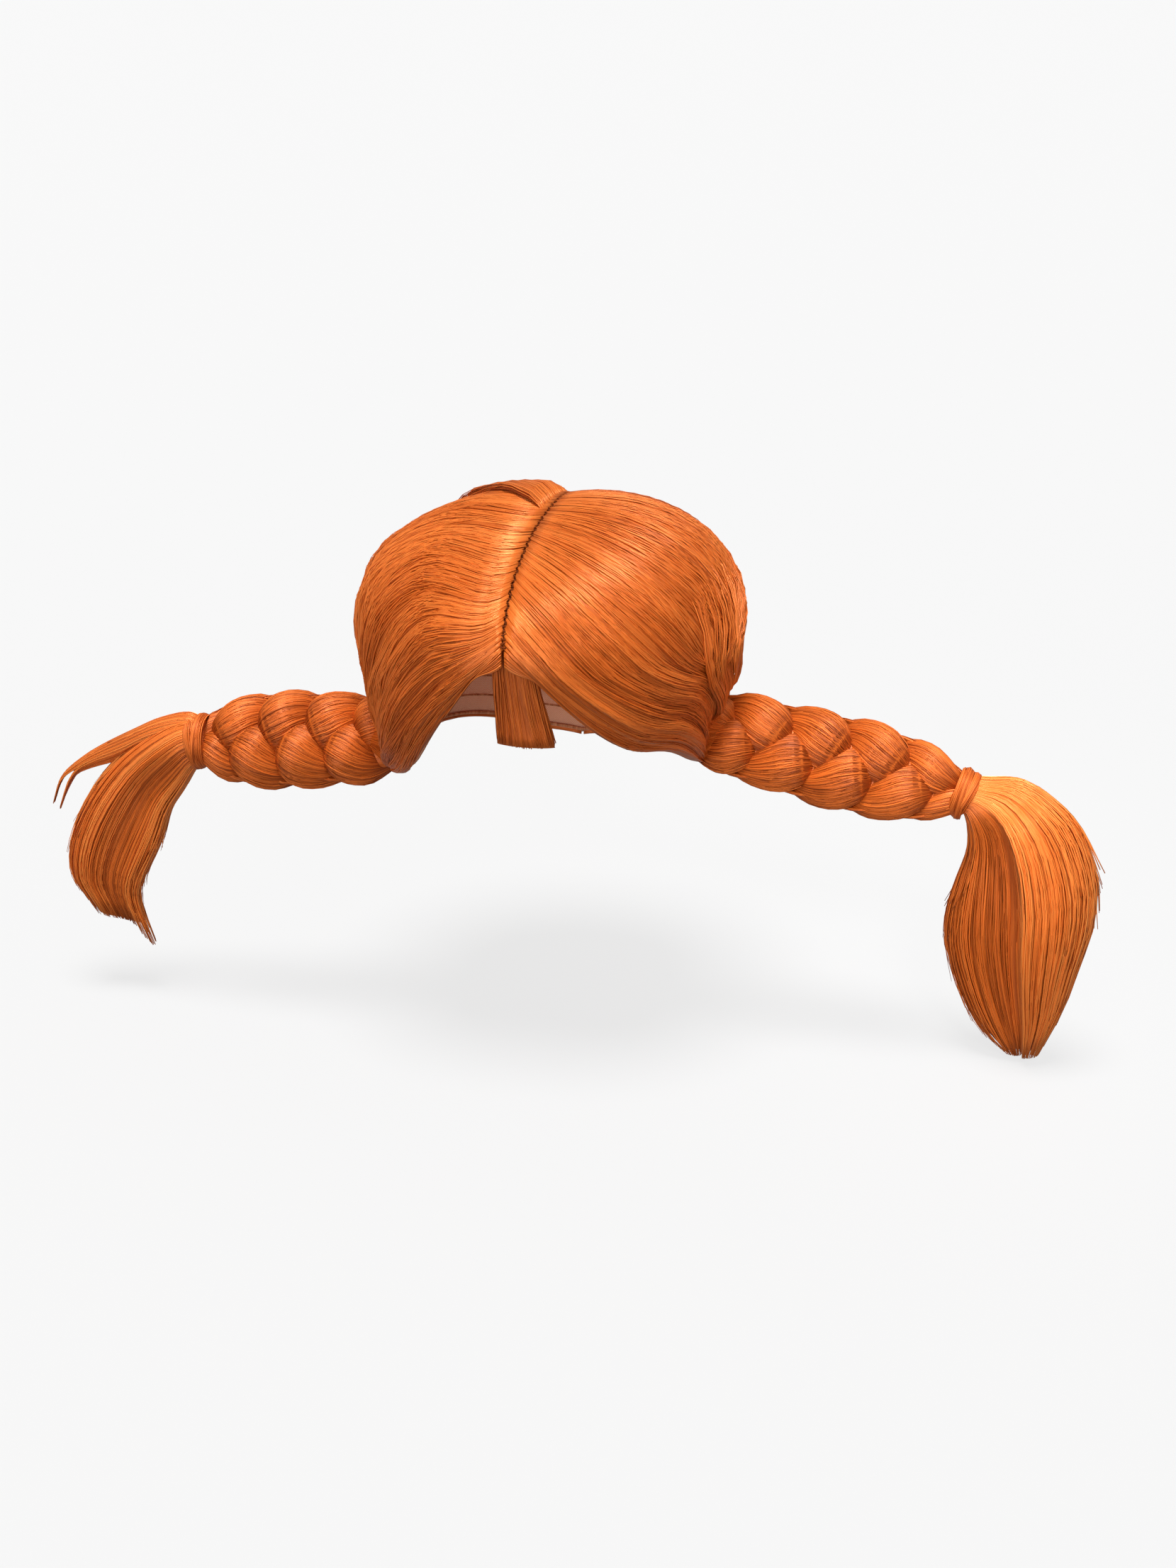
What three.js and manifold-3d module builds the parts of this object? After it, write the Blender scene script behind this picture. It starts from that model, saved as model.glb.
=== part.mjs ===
import * as THREE from "three";
import Module from "manifold-3d";
import { LoftGeometry } from "three/addons/geometries/LoftGeometry.js";
import { mergeVertices } from "three/addons/utils/BufferGeometryUtils.js";

// A wig with a centre parting, a short fringe and two plaits that stand out from the sides of the head.
// Millimetres, +Z up. The wearer faces -Y and the wearer's left is +X.
// Heights are measured from the widest level of the head until the last lines,
// where the group is lowered so that the inside of the crown is at the origin.

// The space between pieces that touch.
const GAP = 0.4;

// The bowl of net that the hair is sewn to, as inside sizes.
const CAP = {
  halfWidth: 78,
  halfDepth: 92,
  crown: 45,
  nape: 97,
  squareness: 2.3,
  tuck: 0.12,
  wall: 1.6,
  rimInset: 2.5,
  rowsRound: 32,
  rowsDown: 7,
};

// Height of the hair's lower edge, by degrees round the head from the middle of the forehead.
const RIM = [
  { round: 0, left: 14, right: 14 },
  { round: 10, left: 2, right: -2 },
  { round: 18, left: -10, right: -18 },
  { round: 30, left: -26, right: -41 },
  { round: 42, left: -39, right: -62 },
  { round: 60, left: -50, right: -77 },
  { round: 80, left: -67, right: -83 },
  { round: 100, left: -74, right: -83 },
  { round: 120, left: -82, right: -86 },
  { round: 140, left: -90, right: -92 },
  { round: 180, left: -97, right: -97 },
];

// The hair of one half: combed from the parting to a round gap where the plait comes out.
const HAIR = {
  rows: 32,
  columns: 12,
  locks: 8,
  grooveDepth: 1.8,
  offCap: 1.3,
  edgeLift: 5.4,
  edgeShare: 0.09,
  groovesFrom: 0.2,
  rootRadius: 17.5,
  backLevel: 0.69,
};

// Lift of the hair's outer surface over the inside of the cap, across from the parting to the plait.
const LIFT = [
  { across: 0, left: 5, right: 5 },
  { across: 0.06, left: 7.5, right: 6.5 },
  { across: 0.2, left: 11.5, right: 8.5 },
  { across: 0.35, left: 15.5, right: 10 },
  { across: 0.5, left: 18, right: 13.5 },
  { across: 0.65, left: 18, right: 14.5 },
  { across: 0.8, left: 17, right: 12 },
  { across: 1, left: 18, right: 9 },
];

// Where a strand from the parting meets the round gap: degrees round it, from the front over the top.
const MEETS = [
  { along: 0, turn: -80 },
  { along: 0.1, turn: -20 },
  { along: 0.3, turn: 70 },
  { along: 0.5, turn: 120 },
  { along: 0.8, turn: 190 },
  { along: 1, turn: 260 },
];

// The raised lock beside the back of the parting, on the right half.
const FLAP = { from: 0.26, to: 0.42, across: 0.4, height: 7 };

// The sewn strip in the parting, which stops short of both ends of it.
const SEAM = { halfWidth: 1.6, height: 2.6, offCap: 0.8, short: 0.004, sections: 24 };

// The fringe hangs inside the front of the cap and drifts to the left as it falls.
const FRINGE = {
  top: 12,
  bottom: -40,
  topHalf: 11,
  bottomHalf: 14,
  drift: 7.5,
  back: -82.6,
  front: -87,
  locks: 4,
  groove: 1.2,
  bow: 1.5,
  arch: 2,
  sections: 5,
  stepsPerLock: 4,
  backSteps: 4,
};

// One plait: three strands that pass over each other in turn.
const BRAID = {
  strands: 3,
  period: 90,
  swing: 9.8,
  dive: 6,
  halfAcross: 12.4,
  halfDeep: 10.4,
  between: 0.9,
  rings: 30,
  sides: 12,
};

// Size of the plait along its length, as a share of its full size.
const PLAIT_SHARE = [
  { along: 0, share: 0.62 },
  { along: 0.1, share: 0.86 },
  { along: 0.25, share: 1 },
  { along: 0.75, share: 0.98 },
  { along: 0.9, share: 0.8 },
  { along: 1, share: 0.5 },
];

// The band of wound hair at the end of a plait.
const TIE = { length: 12, bore: 10, radius: 13.4, turns: 3, ridge: 0.9, shoulder: 1.4, rings: 16 };

// The neck of a loose end, which passes through the tie.
const NECK = { radius: 9.5, past: 4, sides: 12 };

// The two sides. The plait runs from the root, on the hair, to the tie, with the drop of its middle as sag.
const SIDES = {
  left: {
    sign: 1,
    root: { y: 0, z: -55, reach: 86 },
    tie: { x: 208.5, y: -5, z: -78 },
    sag: 0.5,
    size: 1,
    sweep: 8,
    flap: false,
  },
  right: {
    sign: -1,
    root: { y: -20, z: -66, reach: 76 },
    tie: { x: 175.5, y: -20, z: -76 },
    sag: 0,
    size: 1.06,
    sweep: 25,
    flap: true,
  },
};

// Middle lines of the loose ends, outwards and down from the tie, with half the width and half the thickness.
const TAILS = {
  left: [
    { out: 12, drop: -3, half: 10.5, deep: 10 },
    { out: 24, drop: -15, half: 21, deep: 15 },
    { out: 31, drop: -34, half: 33, deep: 17 },
    { out: 31, drop: -57, half: 38, deep: 18 },
    { out: 29, drop: -80, half: 38, deep: 17 },
    { out: 28, drop: -103, half: 32, deep: 14 },
    { out: 27, drop: -123, half: 22, deep: 9 },
    { out: 28, drop: -141, half: 9, deep: 4 },
  ],
  right: [
    { out: 12, drop: -3, half: 11, deep: 9.5 },
    { out: 30, drop: -21, half: 18.5, deep: 12 },
    { out: 43, drop: -40, half: 22, deep: 13 },
    { out: 48, drop: -59, half: 22, deep: 12.5 },
    { out: 46, drop: -77, half: 20, deep: 11 },
    { out: 39, drop: -94, half: 16, deep: 8 },
    { out: 29, drop: -109, half: 7, deep: 3 },
  ],
  wisp: [
    { out: 12, drop: 0, half: 9, deep: 8 },
    { out: 30, drop: 4, half: 10, deep: 6 },
    { out: 48, drop: -2, half: 7.5, deep: 4.5 },
    { out: 62, drop: -9, half: 4.5, deep: 3 },
    { out: 72, drop: -18, half: 2.4, deep: 2 },
    { out: 79, drop: -37, half: 1, deep: 1 },
  ],
};

// Locks of a loose end: place across it, depth to the front, width and length as shares of the whole.
const LOCKS = {
  left: [
    { place: -0.66, front: -0.2, width: 0.36, length: 0.94 },
    { place: -0.3, front: 0.3, width: 0.4, length: 0.97 },
    { place: 0.04, front: -0.1, width: 0.42, length: 1 },
    { place: 0.36, front: 0.35, width: 0.4, length: 0.98 },
    { place: 0.68, front: -0.1, width: 0.34, length: 0.93 },
  ],
  right: [
    { place: -0.56, front: -0.1, width: 0.46, length: 0.93 },
    { place: -0.08, front: 0.25, width: 0.5, length: 1 },
    { place: 0.46, front: 0, width: 0.52, length: 0.96 },
  ],
  wisp: [{ place: 0, front: 0, width: 1, length: 1 }],
};

// How a lock is made: it has fanned out by one share of its length, and narrows from another to its tip.
const LOCK = { rings: 10, sides: 8, tip: 0.4, thin: 0.72, fannedBy: 0.3, narrowsFrom: 0.55 };

const COLOURS = {
  hair: 0xd9691f,
  braid: 0xc9642a,
  tail: 0xe0732c,
  tie: 0xb95a1e,
  seam: 0x8a4413,
  net: 0xd9a58c,
};

const wasm = await Module();
wasm.setup();

const { lerp, clamp, degToRad, smoothstep } = THREE.MathUtils;
const point = (x, y, z) => new THREE.Vector3(x, y, z);
const spread = (count, from = 0, to = 1) =>
  Array.from({ length: count + 1 }, (_, i) => lerp(from, to, i / count));

// A smooth line through one column of a table, read by its key column.
function column(rows, key, name) {
  const keys = rows.map((row) => row[key]);
  const values = rows.map((row) => row[name]);
  const line = new THREE.CubicInterpolant(keys, values, 1);
  return (at) => line.evaluate(clamp(at, keys[0], keys.at(-1)))[0];
}

// One closed surface facing out: corners in one place become one, and triangles left with no area go.
function welded(geometry) {
  const bare = new THREE.BufferGeometry();
  bare.setAttribute("position", geometry.getAttribute("position"));
  bare.setIndex(geometry.index);
  const merged = mergeVertices(bare, 1e-3);
  const corners = merged.index.array;
  const kept = [];
  for (let i = 0; i < corners.length; i += 3) {
    const [a, b, c] = corners.subarray(i, i + 3);
    if (a !== b && b !== c && c !== a) kept.push(a, b, c);
  }
  if (volumeOf(merged, kept) < 0) kept.reverse();
  merged.setIndex(kept);
  return merged;
}

function volumeOf(geometry, corners) {
  const places = geometry.getAttribute("position");
  const [a, b, c] = [point(), point(), point()];
  let volume = 0;
  for (let i = 0; i < corners.length; i += 3) {
    a.fromBufferAttribute(places, corners[i]);
    b.fromBufferAttribute(places, corners[i + 1]);
    c.fromBufferAttribute(places, corners[i + 2]);
    volume += a.dot(b.cross(c)) / 6;
  }
  return volume;
}

// A wall between two grids of points, closed along its borders. The rows of a ring meet round it.
function wallBetween(outer, inner, ring = false) {
  const rows = outer.length;
  const columns = outer[0].length;
  const end = columns - 1;
  const at = (layer, i, j) => (layer * rows + (i % rows)) * columns + j;
  const corners = [];
  const quad = (a, b, c, d) => corners.push(a, b, c, a, c, d);
  for (let i = 0; i < (ring ? rows : rows - 1); i++) {
    for (let j = 0; j < end; j++) {
      quad(at(0, i, j), at(0, i + 1, j), at(0, i + 1, j + 1), at(0, i, j + 1));
      quad(at(1, i, j), at(1, i, j + 1), at(1, i + 1, j + 1), at(1, i + 1, j));
    }
    quad(at(0, i, 0), at(1, i, 0), at(1, i + 1, 0), at(0, i + 1, 0));
    quad(at(0, i, end), at(0, i + 1, end), at(1, i + 1, end), at(1, i, end));
  }
  for (let j = 0; j < (ring ? 0 : end); j++) {
    quad(at(0, 0, j), at(0, 0, j + 1), at(1, 0, j + 1), at(1, 0, j));
    quad(at(0, rows - 1, j), at(1, rows - 1, j), at(1, rows - 1, j + 1), at(0, rows - 1, j + 1));
  }
  const geometry = new THREE.BufferGeometry().setFromPoints([...outer.flat(), ...inner.flat()]);
  geometry.setIndex(corners);
  return welded(geometry);
}

// A closed body through sections, whose points turn the same way as a screw driven along the loft.
function bodyThrough(sections) {
  return welded(new LoftGeometry(sections, { capStart: true, capEnd: true }));
}

// Several bodies that run into each other, made one.
function fused(geometries) {
  const solids = geometries.map((geometry) => {
    const mesh = new wasm.Mesh({
      numProp: 3,
      vertProperties: geometry.getAttribute("position").array,
      triVerts: new Uint32Array(geometry.index.array),
    });
    return new wasm.Manifold(mesh);
  });
  const whole = solids.reduce((sum, solid) => sum.add(solid)).getMesh();
  const geometry = new THREE.BufferGeometry();
  geometry.setAttribute("position", new THREE.BufferAttribute(whole.vertProperties, whole.numProp));
  geometry.setIndex(new THREE.BufferAttribute(whole.triVerts, 1));
  return geometry;
}

// Pushes a point out from the middle of the head onto the cap, raised by lift.
function onDome(p, lift) {
  const flat = Math.hypot(p.x / (CAP.halfWidth + lift), p.y / (CAP.halfDepth + lift));
  if (p.z >= 0) {
    const n = CAP.squareness;
    const size = (flat ** n + (p.z / (CAP.crown + lift)) ** n) ** (1 / n);
    return p.clone().divideScalar(size);
  }
  const width = widthAt(p.z);
  return point((p.x * width) / flat, (p.y * width) / flat, p.z);
}

// How far the dome has drawn in below its widest level, as a share of its width there.
function widthAt(height) {
  return 1 - CAP.tuck * (height / CAP.nape) ** 2;
}

const rimHeight = { left: column(RIM, "round", "left"), right: column(RIM, "round", "right") };

// A point of the lower edge, before it is pushed onto the dome.
function rimPoint(side, round) {
  const turn = degToRad(round);
  const { sign, name } = side;
  return point(sign * CAP.halfWidth * Math.sin(turn), -CAP.halfDepth * Math.cos(turn), rimHeight[name](round));
}

function capMesh() {
  const rows = spread(CAP.rowsRound, 0, 360).slice(0, -1);
  const layer = (lift) =>
    rows.map((round) => {
      const side = round <= 180 ? SIDES.left : SIDES.right;
      const edge = rimPoint(side, round <= 180 ? round : 360 - round);
      edge.z += CAP.rimInset;
      return meridian(edge, lift);
    });
  return wallBetween(layer(CAP.wall), layer(0), true);
}

// Points down the dome from the crown to a point of the edge.
function meridian(edge, lift) {
  const flat = Math.hypot(edge.x / CAP.halfWidth, edge.y / CAP.halfDepth);
  const level = point(edge.x / flat, edge.y / flat, 0);
  const whole = Math.PI / 2 - Math.asin(clamp(edge.z / CAP.crown, 0, 1));
  const below = Math.max(0, -edge.z);
  const arc = CAP.halfWidth * whole;
  return spread(CAP.rowsDown).map((share) => {
    const gone = share * (arc + below);
    if (gone > arc) return onDome(point(level.x, level.y, arc - gone), lift);
    const turn = gone / CAP.halfWidth;
    const out = level.clone().multiplyScalar(Math.sin(turn));
    return onDome(out.setZ(CAP.crown * Math.cos(turn)), lift);
  });
}

// A point of the parting, from 0 at the front hairline to 1 at the nape.
function partingPoint(along, sign) {
  const offset = sign * (SEAM.halfWidth + GAP);
  const front = Math.asin(RIM[0].left / CAP.crown);
  const { backLevel } = HAIR;
  if (along <= backLevel) {
    const turn = lerp(front, Math.PI, along / backLevel);
    return point(offset, -CAP.halfDepth * Math.cos(turn), CAP.crown * Math.sin(turn));
  }
  const down = (along - backLevel) / (1 - backLevel);
  return point(offset, CAP.halfDepth, lerp(0, RIM.at(-1).left, down));
}

const meetsAt = column(MEETS, "along", "turn");
const liftAt = { left: column(LIFT, "across", "left"), right: column(LIFT, "across", "right") };

// A point round the gap where the plait comes out.
function rootPoint(side, along) {
  const turn = degToRad(meetsAt(along));
  const { sign, root } = side;
  const y = root.y - HAIR.rootRadius * Math.cos(turn);
  const z = root.z + HAIR.rootRadius * Math.sin(turn);
  const x = CAP.halfWidth * Math.sqrt(widthAt(z) ** 2 - (y / CAP.halfDepth) ** 2);
  return point(sign * x, y, z);
}

// An edge of the hair: along the rim from the parting, then to the gap of the plait.
function edgePoint(side, along, across) {
  const end = rootPoint(side, along);
  const endRound = THREE.MathUtils.radToDeg(
    Math.atan2(Math.abs(end.x) / CAP.halfWidth, -end.y / CAP.halfDepth),
  );
  const startRound = along < 0.5 ? 0 : 180;
  const rim = (round) => onDome(rimPoint(side, round), 0);
  const startMiss = partingPoint(along, side.sign).sub(rim(startRound));
  const endMiss = end.clone().sub(rim(endRound));
  const edge = rim(lerp(startRound, endRound, across));
  return edge.addScaledVector(startMiss, (1 - across) ** 4).addScaledVector(endMiss, across ** 4);
}

// A point of one half of the hair: along the parting, and across from it to the plait.
function hairPoint(side, along, across, lift) {
  const chord = (s) => partingPoint(s, side.sign).lerp(rootPoint(side, s), across);
  const p = chord(along);
  p.addScaledVector(edgePoint(side, 0, across).sub(chord(0)), 1 - along);
  p.addScaledVector(edgePoint(side, 1, across).sub(chord(1)), along);
  p.z += side.sweep * Math.sin(Math.PI * across) * 4 * along * (1 - along);
  return onDome(p, lift);
}

// How far the outside of the hair stands off the inside of the cap.
function hairLift(side, along, across) {
  const fromEdge = Math.min(along, 1 - along) / HAIR.edgeShare;
  const body = Math.sqrt(clamp(fromEdge, 0, 1));
  const groove = HAIR.grooveDepth * (1 - Math.abs(Math.sin(Math.PI * HAIR.locks * along)));
  let lift = lerp(HAIR.edgeLift, liftAt[side.name](across), body);
  lift -= groove * body * smoothstep(across, 0, HAIR.groovesFrom);
  if (side.flap && along > FLAP.from && along < FLAP.to) {
    const hump = Math.sin((Math.PI * (along - FLAP.from)) / (FLAP.to - FLAP.from));
    lift += FLAP.height * hump * (1 - smoothstep(across, FLAP.across / 2, FLAP.across));
  }
  return lift;
}

function hairMesh(side) {
  const inside = CAP.wall + HAIR.offCap;
  const grid = (lift) =>
    spread(HAIR.rows).map((along) =>
      spread(HAIR.columns).map((across) => hairPoint(side, along, across, lift(along, across))),
    );
  return wallBetween(
    grid((along, across) => hairLift(side, along, across)),
    grid(() => inside),
  );
}

// The sewn strip in the parting: a low ridge with a flat foot.
function seamMesh() {
  const foot = CAP.wall + SEAM.offCap;
  const profile = [
    { x: -1, rise: 0 },
    { x: 1, rise: 0 },
    { x: 1, rise: 0.6 },
    { x: 0, rise: 1 },
    { x: -1, rise: 0.6 },
  ];
  const sections = spread(SEAM.sections, SEAM.short, 1 - SEAM.short).map((along) =>
    profile.map(({ x, rise }) => {
      const p = partingPoint(along, 1).setX(x * SEAM.halfWidth);
      return onDome(p, foot + rise * SEAM.height);
    }),
  );
  return bodyThrough(sections.map((section) => section.reverse()));
}

// The fringe: a flat lock of hanging strands, grooved on its face and cut in a low arch.
function fringeMesh() {
  const sections = spread(FRINGE.sections).map((down) => {
    const half = lerp(FRINGE.topHalf, FRINGE.bottomHalf, down);
    const middle = FRINGE.drift * down ** 1.5;
    const height = lerp(FRINGE.top, FRINGE.bottom, down);
    const place = (across, y) => point(middle + half * across, y, height + FRINGE.arch * down * across ** 2);
    const face = spread(FRINGE.locks * FRINGE.stepsPerLock, -1, 1).map((across) => {
      const rib = Math.abs(Math.sin((Math.PI * FRINGE.locks * (across + 1)) / 2));
      return place(across, FRINGE.front + FRINGE.groove * (1 - rib) + FRINGE.bow * across ** 2);
    });
    const back = spread(FRINGE.backSteps, 1, -1).map((across) => place(across, FRINGE.back));
    return [...face, ...back].reverse();
  });
  return bodyThrough(sections);
}

// Directions at a place on a line: along it, to the front and across.
function frameAt(line, at) {
  const along = line.getTangent(at);
  const front = point(0, -1, 0);
  front.addScaledVector(along, -front.dot(along)).normalize();
  return { middle: line.getPoint(at), along, front, across: point().crossVectors(along, front) };
}

// A section in such a frame. The points turn from the front to across.
function sectionIn(frame, shape, sides) {
  return spread(sides, 0, 2 * Math.PI)
    .slice(0, -1)
    .map((turn) => {
      const { front, across } = shape(turn);
      return frame.middle.clone().addScaledVector(frame.front, front).addScaledVector(frame.across, across);
    });
}

const plaitShare = column(PLAIT_SHARE, "along", "share");

// The middle line of a plait, from the root to the near face of the tie.
function plaitLine(side) {
  const { sign, root, tie, sag } = side;
  const from = point(sign * root.reach, root.y, root.z);
  const to = point(sign * tie.x, tie.y, tie.z);
  const mid = from.clone().lerp(to, 0.5);
  mid.z -= sag;
  return new THREE.CatmullRomCurve3([from, mid, to]);
}

// Where a strand's middle is in the plait's section: to the front and across.
function strandMiddle(side, strand, along, length) {
  const turn = 2 * Math.PI * ((along * length) / BRAID.period + strand / BRAID.strands);
  const size = side.size * plaitShare(along);
  return new THREE.Vector2(-BRAID.dive * Math.sin(2 * turn), BRAID.swing * Math.sin(turn)).multiplyScalar(size);
}

// How far a strand reaches from its middle: to its own oval, or to halfway to another strand,
// here and half a ring to either side, so that the faces between the rings stay clear too.
function strandReach(side, strand, along, length, toward) {
  const own = strandMiddle(side, strand, along, length);
  const oval = Math.hypot(toward.x / BRAID.halfDeep, toward.y / BRAID.halfAcross);
  let far = (side.size * plaitShare(along)) / oval;
  for (const step of [-0.5, 0, 0.5]) {
    const near = clamp(along + step / BRAID.rings, 0, 1);
    const middles = spread(BRAID.strands - 1, 0, BRAID.strands - 1).map((k) =>
      strandMiddle(side, k, near, length),
    );
    for (const other of middles) {
      const away = other.clone().sub(middles[strand]);
      const facing = away.normalize().dot(toward);
      if (facing <= 0) continue;
      const halfway = other.clone().add(middles[strand]).multiplyScalar(0.5).sub(own);
      far = Math.min(far, (away.dot(halfway) - BRAID.between / 2) / facing);
    }
  }
  return far;
}

function strandMesh(side, strand) {
  const line = plaitLine(side);
  const end = 1 - (TIE.length / 2 + GAP) / line.getLength();
  const length = line.getLength() * end;
  const sections = spread(BRAID.rings).map((along) => {
    const own = strandMiddle(side, strand, along, length);
    const edge = (turn) => {
      const toward = new THREE.Vector2(Math.cos(turn), Math.sin(turn));
      const place = toward.clone().multiplyScalar(strandReach(side, strand, along, length, toward)).add(own);
      return { front: place.x, across: place.y };
    };
    return sectionIn(frameAt(line, along * end), edge, BRAID.sides);
  });
  return bodyThrough(sections);
}

// A ring round the end of a plait, ridged by the turns of hair that are wound into it.
function tieMesh(side) {
  const frame = frameAt(plaitLine(side), 1);
  const steps = TIE.turns * 2;
  const sections = spread(TIE.rings, 0, 2 * Math.PI).map((turn) => {
    const out = frame.front.clone().multiplyScalar(Math.cos(turn));
    out.addScaledVector(frame.across, Math.sin(turn));
    const at = (radius, along) =>
      frame.middle.clone().addScaledVector(out, radius).addScaledVector(frame.along, along * TIE.length);
    const outside = spread(steps, -0.5, 0.5).map((along, i) => {
      const crown = 1 - (2 * along) ** 4;
      return at(TIE.radius - TIE.ridge * (i % 2 ? 0 : 1) - TIE.shoulder * (1 - crown), along);
    });
    return [...outside, at(TIE.bore, 0.5), at(TIE.bore, -0.5)];
  });
  return welded(new LoftGeometry(sections));
}

// One lock of a loose end, narrowing to its tip.
function lockBody(line, rows, lock) {
  const last = rows.length - 1;
  const keyed = rows.map((row, i) => ({ ...row, at: i / last }));
  const halfAt = column(keyed, "at", "half");
  const deepAt = column(keyed, "at", "deep");
  const sections = spread(LOCK.rings).map((share) => {
    const at = share * lock.length;
    const fan = smoothstep(share, 0, LOCK.fannedBy);
    const taper = 1 - (1 - LOCK.tip) * smoothstep(share, LOCK.narrowsFrom, 1);
    const frame = frameAt(line, at);
    const wide = lerp(1, lock.width, fan) * halfAt(at) * taper;
    const deep = lerp(1, LOCK.thin, fan) * deepAt(at) * taper;
    frame.middle.addScaledVector(frame.across, lock.place * halfAt(at) * fan);
    frame.middle.addScaledVector(frame.front, lock.front * deepAt(at) * fan);
    return sectionIn(
      frame,
      (turn) => ({ front: deep * Math.cos(turn), across: wide * Math.sin(turn) }),
      LOCK.sides,
    );
  });
  return bodyThrough(sections);
}

function tailMesh(side, names) {
  const { sign } = side;
  const plait = plaitLine(side);
  const tie = frameAt(plait, 1);
  const round = (turn) => ({ front: NECK.radius * Math.cos(turn), across: NECK.radius * Math.sin(turn) });
  const neck = [-TIE.length / 2, TIE.length / 2 + NECK.past].map((step) => {
    const middle = tie.middle.clone().addScaledVector(tie.along, step);
    return sectionIn({ ...tie, middle }, round, NECK.sides);
  });
  const bodies = [bodyThrough(neck)];
  for (const name of names) {
    const rows = [{ half: NECK.radius - GAP, deep: NECK.radius - GAP }, ...TAILS[name]];
    const start = tie.middle.clone().addScaledVector(tie.along, TIE.length / 2 + NECK.past / 2);
    const places = TAILS[name].map(({ out, drop }) => tie.middle.clone().add(point(sign * out, 0, drop)));
    const line = new THREE.CatmullRomCurve3([start, ...places]);
    for (const lock of LOCKS[name]) bodies.push(lockBody(line, rows, lock));
  }
  return fused(bodies);
}

const wig = new THREE.Group();

function add(name, geometry, color, roughness = 0.45) {
  const mesh = new THREE.Mesh(geometry, new THREE.MeshStandardMaterial({ color, roughness, metalness: 0 }));
  mesh.name = name;
  wig.add(mesh);
}

for (const [name, side] of Object.entries(SIDES)) side.name = name;

add("cap", capMesh(), COLOURS.net, 0.9);
add("part_seam", seamMesh(), COLOURS.seam, 0.8);
add("fringe", fringeMesh(), COLOURS.hair);

for (const [name, side] of Object.entries(SIDES)) {
  add(`hair_${name}`, hairMesh(side), COLOURS.hair);
  for (let strand = 0; strand < BRAID.strands; strand++) {
    add(`${name}_braid_strand_${strand + 1}`, strandMesh(side, strand), COLOURS.braid);
  }
  add(`${name}_tie`, tieMesh(side), COLOURS.tie, 0.6);
  add(`${name}_tail`, tailMesh(side, name === "right" ? ["right", "wisp"] : ["left"]), COLOURS.tail);
}

wig.position.z = -CAP.crown;

export default wig;
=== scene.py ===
import math

import bpy
import numpy as np
from mathutils import Matrix, Vector


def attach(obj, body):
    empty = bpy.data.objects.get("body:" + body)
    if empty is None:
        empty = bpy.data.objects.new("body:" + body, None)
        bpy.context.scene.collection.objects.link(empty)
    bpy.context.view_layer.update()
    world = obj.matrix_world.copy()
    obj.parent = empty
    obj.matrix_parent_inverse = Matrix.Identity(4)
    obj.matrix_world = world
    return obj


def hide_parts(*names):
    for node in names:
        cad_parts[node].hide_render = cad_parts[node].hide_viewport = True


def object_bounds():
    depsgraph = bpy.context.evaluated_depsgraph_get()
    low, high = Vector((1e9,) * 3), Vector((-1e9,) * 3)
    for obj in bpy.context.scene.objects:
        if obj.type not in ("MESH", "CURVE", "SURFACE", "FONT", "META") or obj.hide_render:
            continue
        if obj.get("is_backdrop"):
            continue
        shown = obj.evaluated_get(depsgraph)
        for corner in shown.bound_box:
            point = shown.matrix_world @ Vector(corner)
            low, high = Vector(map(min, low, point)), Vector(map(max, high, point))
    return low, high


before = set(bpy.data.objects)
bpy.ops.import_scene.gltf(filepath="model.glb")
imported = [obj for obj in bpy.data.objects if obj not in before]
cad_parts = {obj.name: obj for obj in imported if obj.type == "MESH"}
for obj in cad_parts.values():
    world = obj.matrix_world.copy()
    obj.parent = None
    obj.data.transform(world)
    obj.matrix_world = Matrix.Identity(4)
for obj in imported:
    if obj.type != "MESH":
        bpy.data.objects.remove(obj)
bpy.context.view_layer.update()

# A wig of straight orange fibre: hair combed from a sewn parting to two plaits, on a net cap.
# Shapes are worked out in millimetres, with heights from the widest level of the head.
# The wearer faces -Y and the wearer's left is +X.

MM = 0.001
FIBRE_MAP = "OFBake"
ROOT = "root"
HEAD_MIDDLE = np.array([0.0, 0.0, -20.0])


def table(columns, *rows):
    """Columns of numbers by name."""
    return {name: np.array(values, float) for name, values in zip(columns.split(), zip(*rows))}


# The bowl of the cap, as inside sizes.
HALF_WIDTH = 78.0
HALF_DEPTH = 92.0
CROWN = 45.0
NAPE = 97.0
SQUARENESS = 2.3
TUCK = 0.12
CAP_WALL = 1.6
RIM_INSET = 2.5

# Height of the hair's lower edge, by degrees round the head from the middle of the forehead.
RIM = table(
    "round left right",
    (0, 10.5, 10.5), (10, -2, -4), (18, -14, -19), (30, -30, -41), (42, -42, -61), (60, -50, -74),
    (80, -64, -79), (100, -71, -79), (120, -76, -80), (140, -84, -85), (160, -93, -93),
    (180, -97, -97),
)

# Lift of the hair over the inside of the cap, across from the parting to the plait.
LIFT = table(
    "across left right",
    (0, 5.7, 5.6), (0.06, 7.5, 6.5), (0.2, 11.5, 8.5), (0.35, 15.5, 10), (0.5, 18, 13.5),
    (0.65, 18, 14.5), (0.8, 17, 12), (1, 11, 8),
)

# Where a strand from the parting meets the root of the plait: degrees round it, from front over top.
MEETS = table("along turn", (0, -80), (0.1, -20), (0.3, 70), (0.5, 120), (0.8, 190), (1, 260))
ROOT_RADIUS = 17.5
TUCK_TURN = 1.4

# Size of a plait along its length, as a share of its full size.
PLAIT_SHARE = table("along share", (0, 0.75), (0.1, 0.95), (0.25, 1), (0.73, 1), (0.88, 0.82), (1, 0.44))

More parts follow.
